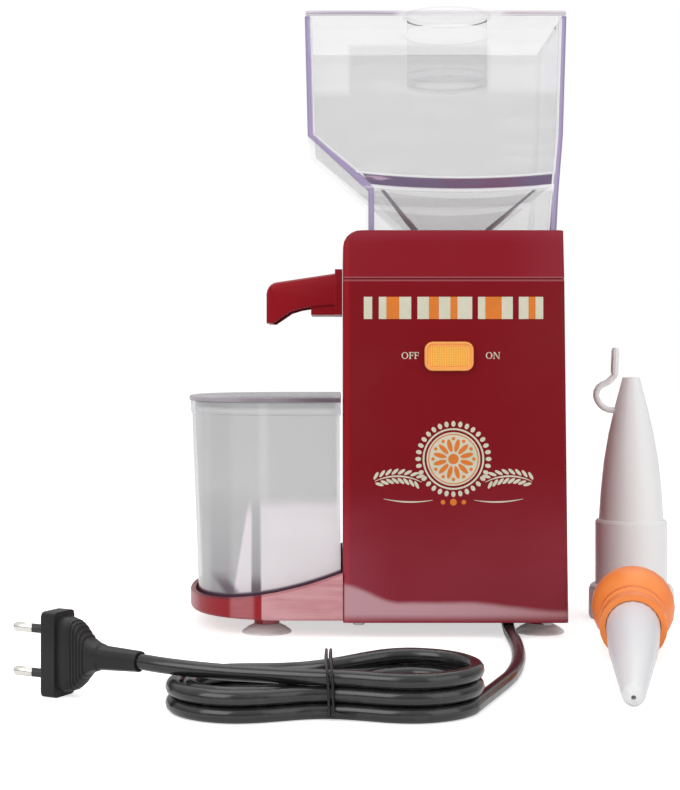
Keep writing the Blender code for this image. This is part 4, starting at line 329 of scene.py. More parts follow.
def hopper_plastic():
    """Clear moulding, lilac where its walls are seen on edge from the label side, with painted
    gleams along its edges and shoulder and painted reflections of the soft lamps on its upper
    walls.
    """
    lilac = tuple(bpy.context.scene.nut_butter_colours.clear_edge)
    made = Finish("clear_hopper", (0.46, 0.46, 0.47), 0.07, specular=0.4)
    x, y, z = made.axes()
    front = y.between(-45.0, -50.0)
    face = front + y.between(45.0, 50.0) * 0.25
    below_bend = (BEND_Z - z).larger(0.0)
    inset_left = x - BIN_LEFT - (BIN_TOP_Z - z) * BIN_LEAN_LEFT
    inset_right = BIN_RIGHT - (BIN_TOP_Z - z) * BIN_LEAN_RIGHT - below_bend * NECK_LEAN - x
    inset_slope = (x - BEND_LEFT) * SLOPE_NORMAL[0] + (z - BEND_Z) * SLOPE_NORMAL[1]
    below_shoulder = z.between(SHOULDER_Z - 0.8, SHOULDER_Z - 2.8)
    bin_side = z.between(BEND_Z - 1.0, BEND_Z + 1.0)
    edges = inset_left.between(3.1, 2.4) * bin_side
    edges = edges.larger(inset_right.between(3.1, 2.4))
    slope_edge = inset_slope - x.between(-12.0, 14.0) * 1.3
    edges = edges.larger(slope_edge.between(2.4, 1.7) * (1 - below_shoulder))
    edges = edges.larger(x.between(NECK_LEFT + 3.3, NECK_LEFT + 2.5) * below_shoulder)
    outermost = inset_left.between(0.9, 0.3).larger(inset_right.between(0.9, 0.3))
    gleam = (inset_left.band(3.5, 0.15, 0.45) * bin_side).larger(inset_right.band(3.6, 0.2, 0.45))
    left_of_neck = x.between(NECK_LEFT - 1, NECK_LEFT - 4)
    gleam = gleam.larger(slope_edge.band(2.8, 0.15, 0.5) * left_of_neck * (1 - bin_side))
    off_middle = (x - 61.0) * (1 / 48.0)
    drop = z - off_middle * off_middle * 2.4
    across = slope_edge.between(1.6, 2.2) * inset_right.between(2.6, 3.0)
    shoulder = drop.band(SHOULDER_Z, 2.3, 0.6) * across
    gleam = gleam.larger(drop.band(SHOULDER_Z + 3.3, 0.15, 0.5) * across)
    gleam = gleam.larger(drop.band(SHOULDER_Z - 3.4, 0.6, 0.5) * across)
    fine = made.noise(90.0, 4.0, (0.5, 0.4, 2.2))
    wine = made.noise(14.0, 2.0, (1.0, 0.4, 0.4)) + fine * 0.3 - x.apart(56.0) * 0.006
    wine = wine.between(0.42, 0.66)
    band_tint = made.mix(wine, (0.17, 0.125, 0.21), (0.20, 0.085, 0.15))
    flash = fine.between(0.56, 0.66) * drop.band(SHOULDER_Z + 0.9, 0.7, 0.6)
    band_tint = made.mix(flash * 0.8, band_tint, (0.55, 0.40, 0.52))

    share = (FUNNEL_TOP_Z - z) * (1 / FUNNEL_FALL)
    in_funnel = z.between(228.0, 226.0) * z.between(198.0, 201.0)
    corner_depth = (y + 48.8 - share * 36.3).band(0.5, 4.5, 1.5)
    corners = (x - 18.5 - share * 27.0).band(0.3, 1.1 + share * 0.8, 0.7)
    corners = corners.larger((x - 104.4 + share * 33.9).band(-0.6, 1.1 + share * 0.8, 0.7))
    corners = corners * corner_depth * in_funnel

    # Painted reflections of the soft lamps on the near upper walls and under the lid
    upper_left = x.between(6.0, 3.0) * z.between(272.0, 278.0)
    upper_right = x.between(74.0, 78.0) * z.between(273.0, 279.0)
    under_lid = z.between(298.0, 301.0)
    streaky = made.noise(40.0, 3.0, (1.0, 1.0, 0.25))
    softbox_reflections = upper_left.larger(upper_right).larger(under_lid) * y.between(-20.0, -40.0)
    softbox_reflections = softbox_reflections * (0.5 + streaky * 0.8)
    strokes = made.noise(70.0, 3.0, (0.3, 0.3, 2.2)).between(0.5, 0.7) * 0.3

    graze = made.facing(0.3).between(0.55, 0.97)
    body = made.mix(softbox_reflections * 0.9 + strokes, (0.46, 0.46, 0.465), (0.86, 0.855, 0.88))
    tint = made.mix(graze * 0.5, body, scaled(lilac, 1.6))
    tint = made.mix(edges * face, tint, lilac)
    tint = made.mix(outermost * face * 0.5, tint, scaled(lilac, 0.6))
    tint = made.mix(corners, tint, (0.27, 0.21, 0.46))
    tint = made.mix(shoulder * face, tint, band_tint)
    made.set("Base Color", made.mix(gleam * front, tint, (0.97, 0.96, 0.98)))
    marked = (edges * 0.9).larger(shoulder * 0.92).larger(gleam * 0.5) * face
    marked = marked.larger(corners * 0.85)
    under_slope = inset_slope.between(3.0, 2.2) * (1 - bin_side)
    over_bend = inset_left.between(3.0, 2.4) * z.between(276.0, 258.0)
    under_slope = under_slope.larger(over_bend) * y.between(-42.0, -10.0)
    clear = 0.18 - softbox_reflections * 0.05 + graze * 0.02 - in_funnel * 0.05
    made.set("Alpha", clear.larger(marked) * (1 - under_slope * 0.82))
    made.set("Roughness", 0.06 + strokes * 0.1)
    made.bump(made.noise(18.0, 1.0), 0.05, 0.4)
    return made


def lid_plastic():
    """Clear lid with a tinted front edge, a nearly colourless filling port and a painted highlight
    on its skirt.
    """
    lilac = tuple(bpy.context.scene.nut_butter_colours.clear_edge)
    made = Finish("clear_lid", (0.6, 0.6, 0.61), 0.06, specular=0.4)
    x, y, z = made.axes()
    rim = y.between(-52.0, -53.4) * z.band(LID_EDGE_Z, 1.6, 0.4)
    streaks = made.noise(45.0, 3.0, (1.0, 0.2, 1.8))
    port_near = x.band(PORT_X - 2, 24.0, 6.0)
    tone = (x + streaks * 20).between(30.0, 90.0)
    pale = made.mix(tone, (0.58, 0.53, 0.62), (0.68, 0.62, 0.67))
    line = made.mix(tone, (0.33, 0.27, 0.37), (0.50, 0.42, 0.49))
    thread = (z + streaks * 0.8 - 0.4).band(LID_EDGE_Z - 0.1, 0.3, 0.35)
    edge_tint = made.mix(thread, pale, line)
    graze = made.facing(0.3).between(0.5, 0.97)
    lines = z.band(PORT_LIP_Z - 0.8, 0.5, 0.5).larger(
        z.band(PORT_LIP_Z + 3.5, 0.35, 0.5))
    body = made.mix(graze * 0.5, (0.62, 0.62, 0.64), scaled(lilac, 1.7))
    body = made.mix(lines, body, (0.5, 0.46, 0.58))
    from_port = ((x - PORT_X) * (x - PORT_X) + y * y) ** 0.5
    # Painted highlight: a near-white band on the skirt away from the port
    skirt_highlight = from_port.between(24.0, 26.0)
    skirt_highlight = skirt_highlight * z.between(LID_EDGE_Z - 0.6, LID_EDGE_Z - 1.2)
    body = made.mix(skirt_highlight, body, (0.93, 0.93, 0.95))
    made.set("Base Color", made.mix(rim, body, edge_tint))
    clear = (0.07 + graze * 0.12 + lines * 0.14) * (1 - skirt_highlight * 0.8)
    made.set("Alpha", clear.larger(rim * (0.85 - port_near * 0.5)))
    made.set("Roughness", 0.05 + streaks * 0.06)
    made.bump(made.noise(20.0, 1.0), 0.05, 0.4)
    return made


def cup_plastic():
    """Clear cup with painted reflections of the room in upright streaks and a pale lower part,
    painted shade in a band and low down, and the tray rim's painted shadow.
    """
    made = Finish("clear_cup", (0.55, 0.55, 0.55), 0.1, specular=0.4)
    x, y, z = made.axes()
    ripple = made.noise(22.0, 2.0, (1.0, 0.5, 0.12))
    # Painted reflections of the room: a pale lower right part and wedge, light upright bands and a
    # dark upright streak
    low = (z + ripple * 5).between(75.0, 66.5)
    right_half = x.between(-41.2, -39.6)
    wedge = (x + (69.5 - z) * 0.1727).between(-46.6, -45.0)
    wedge = wedge * x.between(-43.6, -45.0) * z.between(72.0, 60.0)
    pale = (right_half * low).larger(wedge)
    streak = x.band(-42.3, 2.0, 1.0)
    deepening = z.between(66.0, 26.0)
    left_edge = x.between(-70.0, -75.0)
    tone = made.mix(left_edge * 0.7 + ripple * 0.15, (0.56, 0.56, 0.565), (0.72, 0.71, 0.75))
    tone = made.mix(x.band(-38.6, 0.6, 3.4) * (1 - low) * 0.6, tone, (0.70, 0.70, 0.71))
    shade = x.band(-61.0, 3.5, 4.5) * (0.3 + deepening * 0.6)
    tone = made.mix(shade, tone, (0.42, 0.41, 0.43))
    tone = made.mix(pale, tone, (0.84, 0.80, 0.83))
    tone = made.mix(streak * (low * 0.3 + deepening * 0.5), tone, (0.40, 0.385, 0.41))
    near = y.between(5.0, -10.0)
    # Painted shadow of the tray's rim on the cup, and painted shade low on the near wall
    above_rim = z - TRAY_RIM_LOW - rim_rise(x)
    rim_shadow = above_rim.between(2.4, 0.8) * near
    low_shade = (x + (z - 26) * 0.8).band(-59.0, 1.5, 5.0).larger(streak)
    low_shade = low_shade * (z + ripple * 4).between(35.0, 26.0) * near
    dark = rim_shadow.larger(low_shade * 0.75)
    tone = made.mix(dark, tone, (0.095, 0.05, 0.085))
    edge_line = z.band(CUP_LID_Z - 5.8, 0.3, 0.3) * 0.25
    made.set("Base Color", made.mix(edge_line, tone, (0.80, 0.80, 0.82)))
    graze = made.facing(0.3).between(0.5, 0.97)
    firm = (z.between(80.0, 52.0) * 0.3 + pale * 0.12).larger(dark * 0.36)
    made.set("Alpha", 0.20 + near * (0.32 + firm) + graze * 0.18)
    made.set("Roughness", 0.08 + ripple * 0.08)
    made.bump(ripple + made.noise(300.0, 2.0) * 0.03, 0.12, 0.6)
    return made


def cup_lid_plastic():
    """Smoky flat lid with painted shade on its near edge, deepening towards the housing."""
    smoky = (0.60, 0.58, 0.63)
    made = Finish("clear_cup_lid", smoky, 0.1, specular=0.4)
    x, y, z = made.axes()
    rim = z.band(CUP_LID_Z, 1.1, 0.2) * y.between(20.0, -6.0)
    streaks = made.noise(60.0, 3.0, (0.6, 0.6, 2.0))
    # Painted shade on the near edge, deepening towards the housing
    shade_toward_wall = (x + streaks * 30).between(-50.0, 14.0)
    edge_tint = made.mix(shade_toward_wall, (0.40, 0.355, 0.40), (0.115, 0.08, 0.105))
    edge_tint = made.mix(x.band(-44.0, 4.0, 5.0) * 0.5, edge_tint, (0.24, 0.20, 0.235))
    made.set("Base Color", made.mix(rim, smoky, edge_tint))
    made.set("Alpha", (0.5 + streaks * 0.1).larger(rim * 0.9))
    made.set("Roughness", 0.1 + streaks * 0.1)
    made.bump(streaks, 0.06, 0.3)
    return made


def printed(name, colour, border):
    """Ink film, slightly mottled, with a paler edge where it was cut."""
    made = Finish(name, colour, 0.45, specular=0.3)
    speck = made.noise(520.0, 4.0).between(0.32, 0.75)
    cloud = made.noise(110.0, 3.0).between(0.4, 0.65)
    darker = tuple(c * d for c, d in zip(colour, (0.86, 0.92, 0.86)))
    mottled = made.mix(speck * 0.35 + cloud * 0.4, colour, darker)
    made.set("Base Color", made.mix(made.facing(0.5) * 0.5, mottled, border))
    made.set("Roughness", 0.38 + speck * 0.2)
    made.bump(speck, 0.08, 0.03)
    return made


def button_plastic():
    """Golden button with a ribbed field inside a plain border; the ribs' light and shade is painted
    into their colour.
    """
    made = Finish("golden_button", (0.96, 0.50, 0.08), 0.38, specular=0.3)
    low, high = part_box("switch_button")
    middle = (low + high) / 2
    half_x, half_z = (high.x - low.x) / 2 / MM, (high.z - low.z) / 2 / MM
    x, _, z = made.axes()
    across = x.apart((middle.x - SHIFT_X) / MM)
    upright = z.apart(middle.z / MM)
    field = across.between(half_x - 2.0, half_x - 2.8) * upright.between(half_z - 2.0, half_z - 2.8)
    ribs, rows = x.wave(RIB_PITCH), z.wave(ROW_PITCH)
    lit = (ribs * 0.65 + rows * 0.35).between(0.15, 0.9)
    middle_tint = made.mix(lit, (0.93, 0.43, 0.045), (1.0, 0.60, 0.15))
    border = made.mix(made.noise(160.0), (0.95, 0.36, 0.07), (1.0, 0.50, 0.16))
    made.set("Base Color", made.mix(field, border, middle_tint))
    made.set("Roughness", 0.36 + made.noise(120.0) * 0.1)
    made.bump(rows * 0.3 * field + made.noise(900.0) * 0.1, 0.3, 0.12, edge=0.4)
    return made


def milky_plastic(name, tint, alpha):
    """Whitish moulding, a little glassy at its edges."""
    made = Finish(name, (0.92, 0.92, 0.92), 0.3, specular=0.35)
    graze = made.facing(0.45).between(0.35, 0.95)
    cloud = made.noise(34.0, 4.0, (1, 1, 0.3))
    core = made.mix(cloud * 0.6, (0.93, 0.93, 0.935), (0.985, 0.985, 0.985))
    made.set("Base Color", made.mix(graze * 0.5, core, tint))
    made.set("Alpha", alpha + graze * 0.06)
    made.set("Roughness", 0.24 + cloud * 0.14)
    made.bump(made.noise(300.0, 3.0) * 0.4 + cloud, 0.08, 0.2, edge=0.3)
    return made


def soft_rubber(name, colour, roughness, alpha=1.0, shine=0.35):
    """Matt rubber or moulded plastic with a fine grain, paler where it is worn."""
    made = Finish(name, colour, roughness, specular=shine)
    worn = made.noise(35.0, 4.0).between(0.35, 0.7)
    lighter = tuple(min(1.0, c * 1.18 + 0.004) for c in colour)
    made.set("Base Color", made.mix(worn * 0.6, colour, lighter))
    made.set("Roughness", roughness - 0.06 + worn * 0.12)
    made.set("Alpha", alpha)
    made.bump(made.noise(900.0, 3.0) + made.noise(60.0, 2.0) * 0.4, 0.16, 0.12, edge=0.4)
    return made


def bulb_rubber():
    """Bright orange rubber, deeper where it is seen at a slant."""
    made = Finish("orange_bulb", (0.98, 0.27, 0.06), 0.34, specular=0.4)
    deep = made.noise(30.0, 3.0).between(0.35, 0.7)
    graze = made.facing(0.4).between(0.2, 0.95)
    glow = made.mix(deep * 0.5, (0.99, 0.31, 0.075), (1.0, 0.24, 0.04))
    made.set("Base Color", made.mix(graze * 0.6, glow, (0.98, 0.19, 0.025)))
    made.set("Roughness", 0.28 + made.noise(70.0) * 0.14)
    made.bump(made.noise(420.0, 2.0) * 0.3 + made.noise(40.0), 0.1, 0.3, edge=0.4)
    return made


def cord_jacket():
    """Soft black jacket with faint marks along its length."""
    made = Finish("cord_jacket", (0.03, 0.03, 0.031), 0.2, specular=0.55)
    dust = made.noise(160.0, 4.0).between(0.45, 0.75)
    made.set("Base Color", made.mix(dust * 0.5, (0.016, 0.016, 0.017), (0.04, 0.039, 0.039)))
    made.set("Roughness", 0.15 + dust * 0.12)
    made.bump(made.noise(1500.0, 3.0) + made.noise(90.0, 2.0), 0.14, 0.1)
    return made


def machined(name, colour, roughness, stretch):
    """Metal with fine marks drawn out along one direction."""
    made = Finish(name, colour, roughness, metallic=1.0)
    marks = made.noise(240.0, 4.0, stretch)
    stain = made.noise(30.0, 3.0).between(0.35, 0.7)
    made.set("Base Color", made.mix(stain * 0.4, colour, scaled(colour, 0.72)))
    made.set("Roughness", roughness - 0.08 + marks * 0.18)
    made.bump(marks, 0.12, 0.05)
    return made


def pin_finish():
    """Nickel pins whose inner stretch wears a black sleeve."""
    nickel, sleeve_black = (0.72, 0.70, 0.66), (0.022, 0.022, 0.022)
    made = Finish("plug_pins", nickel, 0.22)
    low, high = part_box("plug_pin_upper")
    x, _, _ = made.axes()
    middle = ((low.x + high.x) / 2 - SHIFT_X) / MM
    sleeve = x.between(middle - 0.3, middle)
    marks = made.noise(500.0, 3.0, (0.1, 1.0, 1.0))
    made.set("Base Color", made.mix(sleeve, nickel, sleeve_black))
    made.set("Metallic", 1 - sleeve)
    made.set("Roughness", 0.14 + marks * 0.14 + sleeve * 0.25)
    made.bump(marks, 0.08, 0.05)
    return made


# Each finish's function and what it is given
RECIPES = {
    "red": (red_plastic, "crimson_moulding"),
    "cover": (red_plastic, "crimson_cover", 1.15),
    # The spout's red is raised 1.55 times as painted light, since it is lit less than the label
    # side
    "spout": (red_plastic, "crimson_spout", 1.55),
    "tray": (tray_plastic,),
    "hopper": (hopper_plastic,),
    "lid": (lid_plastic,),
    "cup": (cup_plastic,),
    "cup_lid": (cup_lid_plastic,),
    "cream": (printed, "cream_print", (0.66, 0.63, 0.50), (0.86, 0.80, 0.68)),
    "orange": (printed, "orange_print", (0.72, 0.19, 0.022), (0.80, 0.24, 0.04)),
    "button": (button_plastic,),
    "nozzle": (milky_plastic, "milky_nozzle", (0.95, 0.95, 0.96), 0.94),
    "tube": (milky_plastic, "milky_tube", (0.76, 0.72, 0.83), 0.84),
    "bulb": (bulb_rubber,),
    # The feet's pale grey is set well above the rubber's own, as painted light against the shade
    # under the tray
    "foot": (soft_rubber, "suction_foot", (0.93, 0.89, 0.89), 0.4, 0.74),
    "jacket": (cord_jacket,),
    "black": (soft_rubber, "black_moulding", (0.017, 0.017, 0.018), 0.42, 1.0, 0.24),
    "wire": (soft_rubber, "tie_wire", (0.012, 0.012, 0.012), 0.4),
    "pins": (pin_finish,),
    "steel": (machined, "machined_steel", (0.56, 0.56, 0.57), 0.32, (1, 1, 12)),
    "cast": (machined, "cast_alloy", (0.60, 0.60, 0.62), 0.5, (1, 1, 1)),
    "dark": (machined, "dark_steel", (0.20, 0.20, 0.21), 0.42, (1, 1, 20)),
    "brass": (machined, "turned_brass", (0.66, 0.45, 0.19), 0.3, (1, 1, 14)),
    "nylon": (soft_rubber, "natural_nylon", (0.78, 0.76, 0.70), 0.5),
}
FINISHES = {}


def finish_of(key):
    """The material of a recipe, made when it is first asked for."""
    if key not in FINISHES:
        recipe, *settings = RECIPES[key]
        FINISHES[key] = recipe(*settings).material
    return FINISHES[key]


# Mouldings: degrees past which an edge stays sharp, the filling tube's bore, and the tray's gap
SHARP_ANGLE = 33
PORT_BORE_R, BORE_SLACK = 19.9, 0.3
WALL_GAP, REAR_STEP = 0.06, 0.45


def body_of(node):
    holder = frame["nodes"][node].parent
    return next(name for name, empty in frame["bodies"].items() if empty == holder)


def smooth_moulding(node, finish, change=None):
    """A copy of a solid with its joined faces shaded smooth up to its real edges."""
    shape = bmesh.new()
    shape.from_mesh(frame["nodes"][node].data)
    bmesh.ops.remove_doubles(shape, verts=shape.verts, dist=1e-6)
    if change:
        change(shape)
    for face in shape.faces:
        face.smooth = True
    for edge in shape.edges:
        edge.smooth = edge.is_manifold and edge.calc_face_angle(0.0) < math.radians(SHARP_ANGLE)
    mesh = bpy.data.meshes.new(node + "_moulding")
    shape.to_mesh(mesh)
    shape.free()
    piece = link_piece(node + "_moulding", mesh, finish, body_of(node))
    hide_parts(node)
    return piece


def leave_out_bore(shape):
    """Leaves out the filling tube's inner wall above its lip; the outer wall stands for both."""
    middle = place(PORT_X, 0, 0)
    reach = (PORT_BORE_R + BORE_SLACK) * MM
    shape.normal_update()
    bore = [
        face for face in shape.faces
        if abs(face.normal.z) < 0.5 and face.calc_center_median().z > PORT_LIP_Z * MM
        and all(math.hypot(v.co.x - middle.x, v.co.y - middle.y) < reach for v in face.verts)
    ]
    bmesh.ops.delete(shape, geom=bore, context="FACES")


def close_to_wall(shape):
    """Brings a moulding's rear face up to the housing, which it touches."""
    rear = max(vert.co.x for vert in shape.verts)
    for vert in shape.verts:
        if vert.co.x > rear - REAR_STEP * MM:
            vert.co.x += place(HOUSING_LEFT - WALL_GAP, 0, 0).x - rear


def dress(finish, *nodes):
    """Inner parts keep their solids and get a finish."""
    for node in nodes:
        item = frame["nodes"][node]
        if not item.material_slots:
            item.data.materials.append(None)
        for kept in item.material_slots:
            kept.material = finish_of(finish)


# Mesh helpers

def new_piece(name, shape, finish, body):
    """A finished piece from a bmesh in millimetres, riding on a body."""
    bmesh.ops.remove_doubles(shape, verts=shape.verts, dist=0.0002)
    bmesh.ops.recalc_face_normals(shape, faces=shape.faces)
    for vert in shape.verts:
        vert.co = place(*vert.co)
    mesh = bpy.data.meshes.new(name)
    shape.to_mesh(mesh)
    shape.free()
    return link_piece(name, mesh, finish, body)


def link_piece(name, data, finish, body):
    piece = bpy.data.objects.new(name, data)
    bpy.context.scene.collection.objects.link(piece)
    data.materials.clear()
    data.materials.append(finish_of(finish))
    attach(piece, body)
    return piece


def add_plate(shape, outer, inner, near, far):
    """A flat plate over an outline in X and Z; with an inner outline it becomes a ring."""
    loops = [[shape.verts.new((x, y, z)) for x, z in line]
             for line, y in ((outer, near), (outer, far))]
    if inner:
        loops += [[shape.verts.new((x, y, z)) for x, z in line]
                  for line, y in ((inner, far), (inner, near))]
        pairs = zip(loops, loops[1:] + loops[:1])
    else:
        shape.faces.new(loops[0])
        shape.faces.new(loops[1])
        pairs = [(loops[0], loops[1])]
    for first, second in pairs:
        for k in range(len(first)):
            after = (k + 1) % len(first)
            shape.faces.new((first[k], first[after], second[after], second[k]))


def oval(x, z, half_x, half_z, steps=36):
    turns = [math.tau * k / steps for k in range(steps)]
    return [(x + half_x * math.cos(turn), z + half_z * math.sin(turn)) for turn in turns]


def rectangle(left, right, bottom, top):
    return [(left, bottom), (right, bottom), (right, top), (left, top)]


# Printed label: thickness of the ink film and how far it is sunk into the wall
INK = 0.12
INK_BEDDED = 0.02


def ink_levels(layer=0):
    return LABEL_Y + INK_BEDDED - layer * INK, LABEL_Y - INK * (layer + 1)


STRIPE_BOTTOM, STRIPE_TOP = 160.0, 171.1
CREAM_STRIPES = ((11.9, 16.1), (19.4, 35.6), (38.7, 66.1), (69.0, 86.4), (89.4, 101.6))
ORANGE_STRIPES = ((23.2, 29.6), (44.5, 49.4), (55.2, 58.7), (72.7, 80.8), (94.3, 97.7))
LETTER_HEIGHT = 3.4
LETTER_BOTTOM = 140.05
LETTERS = (("O", 30.8, 3.3), ("F", 34.5, 2.3), ("F", 37.1, 2.3), ("O", 72.9, 3.3), ("N", 76.6, 3.4))


def add_letter(shape, letter, left, width, levels):
    """Serif capitals drawn as strokes."""
    bottom, top = LETTER_BOTTOM, LETTER_BOTTOM + LETTER_HEIGHT
    thick, thin, serif = 0.58, 0.26, 0.3
    right = left + width
    if letter == "O":
        middle = (bottom + top) / 2
        centre = (left + right) / 2
        add_plate(shape, oval(centre, middle, width / 2, LETTER_HEIGHT / 2),
                  oval(centre, middle, width / 2 - thick, LETTER_HEIGHT / 2 - thin), *levels)
        return
    stem = left + serif
    bars = [rectangle(stem, stem + thick, bottom, top)]
    if letter == "F":
        middle = bottom + LETTER_HEIGHT * 0.52
        bars += [
            rectangle(left, stem + thick + serif, bottom, bottom + thin),
            rectangle(left, right, top - thin, top),
            rectangle(stem, right - serif, middle - thin / 2, middle + thin / 2),
            rectangle(right - thin, right, top - 0.95, top),
            rectangle(right - serif - thin, right - serif, middle - 0.42, middle + 0.42),
        ]
    if letter == "N":
        far = right - serif - thin
        bars = [
            rectangle(stem, stem + thin, bottom, top),
            rectangle(far, far + thin, bottom, top),
            rectangle(left, stem + thin + serif, bottom, bottom + thin),
            rectangle(left, stem + thin, top - thin, top),
            rectangle(far - serif, right, top - thin, top),
            [(far + thin, bottom), (stem + thick, top), (stem - 0.1, top),
             (far + thin - 0.45, bottom)],
        ]
    for k, bar in enumerate(bars):
        near, far_level = levels
        add_plate(shape, bar, None, near, far_level - k * 0.002)


# A spread of leaves round a circle, as Geometry Nodes

LEAF_INPUTS = (
    ("Count", "Int", 12), ("Radius", "Float", 0.01), ("Start", "Float", 0.0),
    ("Step", "Float", 0.5), ("Leaf Length", "Float", 0.004), ("Leaf Width", "Float", 0.002),
    ("Tilt", "Float", 0.0), ("Thickness", "Float", 0.0001), ("Finish", "Material", None),
)
LEAF_SIDES = 18


def leaf_spread_tree():
    """Leaves at equal steps round a circle, each turned to its place."""
    tree = bpy.data.node_groups.new("leaf_spread", "GeometryNodeTree")
    add_socket = tree.interface.new_socket
    for name, kind, value in LEAF_INPUTS:
        socket = add_socket(name=name, in_out="INPUT", socket_type="NodeSocket" + kind)
        if value is not None:
            socket.default_value = value
    add_socket(name="Geometry", in_out="OUTPUT", socket_type="NodeSocketGeometry")
    source = tree.nodes.new("NodeGroupInput")

    def given(name):
        return Value(tree, source.outputs[name])

    angle = given("Start") + add_node(tree, "GeometryNodeInputIndex") * given("Step")
    spot = add_node(tree, "ShaderNodeCombineXYZ", {
        0: angle.maths("COSINE", angle) * given("Radius"),
        1: angle.maths("SINE", angle) * given("Radius")})
    points = add_node(tree, "GeometryNodePoints", {"Count": given("Count"), "Position": spot})
    leaf = add_node(tree, "GeometryNodeMeshCylinder",
                    {"Vertices": LEAF_SIDES, "Radius": 0.5, "Depth": given("Thickness")}, "Mesh")
    sizes = add_node(tree, "ShaderNodeCombineXYZ",
                     {0: given("Leaf Length"), 1: given("Leaf Width"), 2: 1.0})
    stretched = add_node(tree, "GeometryNodeTransform", {"Geometry": leaf, "Scale": sizes})
    turn = add_node(tree, "ShaderNodeCombineXYZ", {2: angle + given("Tilt")})
    copies = add_node(tree, "GeometryNodeInstanceOnPoints",
                      {"Points": points, "Instance": stretched, "Rotation": turn})
    real = add_node(tree, "GeometryNodeRealizeInstances", {0: copies})
    painted = add_node(tree, "GeometryNodeSetMaterial",
                       {"Geometry": real, "Material": given("Finish")})
    fill(tree.nodes.new("NodeGroupOutput").inputs[0], painted)
    return tree


def leaf_spread(name, finish, centre, layer, **sizes):
    """Bakes one spread of leaves onto the label side. Lengths in millimetres, angles in degrees."""
    tree = bpy.data.node_groups.get("leaf_spread") or leaf_spread_tree()
    carrier = bpy.data.objects.new(name, bpy.data.meshes.new(name + "_carrier"))
    bpy.context.scene.collection.objects.link(carrier)
    spread = carrier.modifiers.new("Spread", "NODES")
    spread.node_group = tree
    near, far = ink_levels(layer)
    values = {
        "Count": sizes["count"], "Radius": sizes["radius"] * MM,
        "Start": math.radians(sizes["start"]), "Step": math.radians(sizes["step"]),
        "Leaf Length": sizes["length"] * MM, "Leaf Width": sizes["width"] * MM,
        "Tilt": math.radians(sizes.get("tilt", 0.0)), "Thickness": (near - far) * MM,
        "Finish": finish_of(finish),
    }
    for socket in tree.interface.items_tree:
        if socket.in_out == "INPUT":
            spread[socket.identifier] = values[socket.name]
    bpy.context.view_layer.update()
    shown = carrier.evaluated_get(bpy.context.evaluated_depsgraph_get())
    mesh = bpy.data.meshes.new_from_object(shown)
    bpy.data.objects.remove(carrier)
    shape = bmesh.new()
    shape.from_mesh(mesh)
    bpy.data.meshes.remove(mesh)
    middle = (near + far) / 2
    for vert in shape.verts:
        x, y, z = vert.co / MM
        vert.co = (centre[0] + x, middle - z, centre[1] + y)
    return new_piece(name, shape, finish, "housing")


# Emblem's centre, and the centre of each sprig's arc from there
EMBLEM = (56.7, 90.0)
SPRIG_X, SPRIG_DROP = 28.0, 34.6


def arc(centre, radius, start, end, half, steps=20):
    """Outline of a thin arc with tapered ends; angles in degrees."""
    x, z = centre
    outer, inner = [], []
    for k in range(steps + 1):
        share = k / steps
        turn = math.radians(start + (end - start) * share)
        width = half * (0.25 + 0.75 * math.sin(math.pi * share))
        for line, way in ((outer, 1), (inner, -1)):
            line.append((x + (radius + way * width) * math.cos(turn),
                         z + (radius + way * width) * math.sin(turn)))
    return outer + inner[::-1]


def draw_emblem():
    """A sun flower between two leafy sprigs, with dots and lines below."""
    x, z = EMBLEM
    shape = bmesh.new()
    add_plate(shape, oval(x, z, 15.4, 15.4, 60), oval(x, z, 14.5, 14.5, 60), *ink_levels())
    add_plate(shape, oval(x, z, 13.4, 13.4, 60), None, *ink_levels())
    for way in (-1, 1):
        stalk = arc((x + way * SPRIG_X, z - SPRIG_DROP), 26.0, 90 + way * 28, 90 - way * 26, 0.42)
        line = arc((x + way * 21.0, z + 40.0), 61.5, -90 - way * 10, -90 + way * 13, 0.36)
        for outline in (stalk, line):
            add_plate(shape, outline, None, *ink_levels())
    new_piece("emblem_medallion", shape, "cream", "housing")
    leaf_spread("emblem_scallops", "cream", EMBLEM, 0, count=32, radius=17.6, start=0,
                step=360 / 32, length=2.9, width=2.1)
    leaf_spread("emblem_petals", "orange", EMBLEM, 1, count=12, radius=6.9, start=15, step=30,
                length=6.6, width=2.3)
    leaf_spread("emblem_seeds", "orange", EMBLEM, 1, count=12, radius=10.2, start=0, step=30,
                length=1.7, width=1.7)
    shape = bmesh.new()
    add_plate(shape, oval(x, z, 2.6, 2.6), None, *ink_levels(1))
    add_plate(shape, oval(x, z, 12.6, 12.6, 60), oval(x, z, 12.15, 12.15, 60), *ink_levels(1))
    for across, size in ((-5.2, 1.15), (0.0, 1.7), (5.2, 1.15)):
        add_plate(shape, oval(x + across, z - 21.6, size, size), None, *ink_levels(0))
    new_piece("emblem_centre", shape, "orange", "housing")
    for way, side in ((-1, "left"), (1, "right")):
        for row, radius, tilt in (("upper", 28.3, 52), ("lower", 23.7, 128)):
            leaf_spread(f"emblem_sprig_{side}_{row}", "cream",
                        (x + way * SPRIG_X, z - SPRIG_DROP), 0, count=8, radius=radius,
                        start=90 + way * 24, step=-way * 6.6, length=4.3, width=1.55,
                        tilt=way * tilt)


# Mains lead

def drawn_in(share):
    """How far a turn is pulled in at a share of the way from the middle to a lobe."""
    return WAIST * (0.5 + 0.5 * math.cos(math.pi * abs(share)))


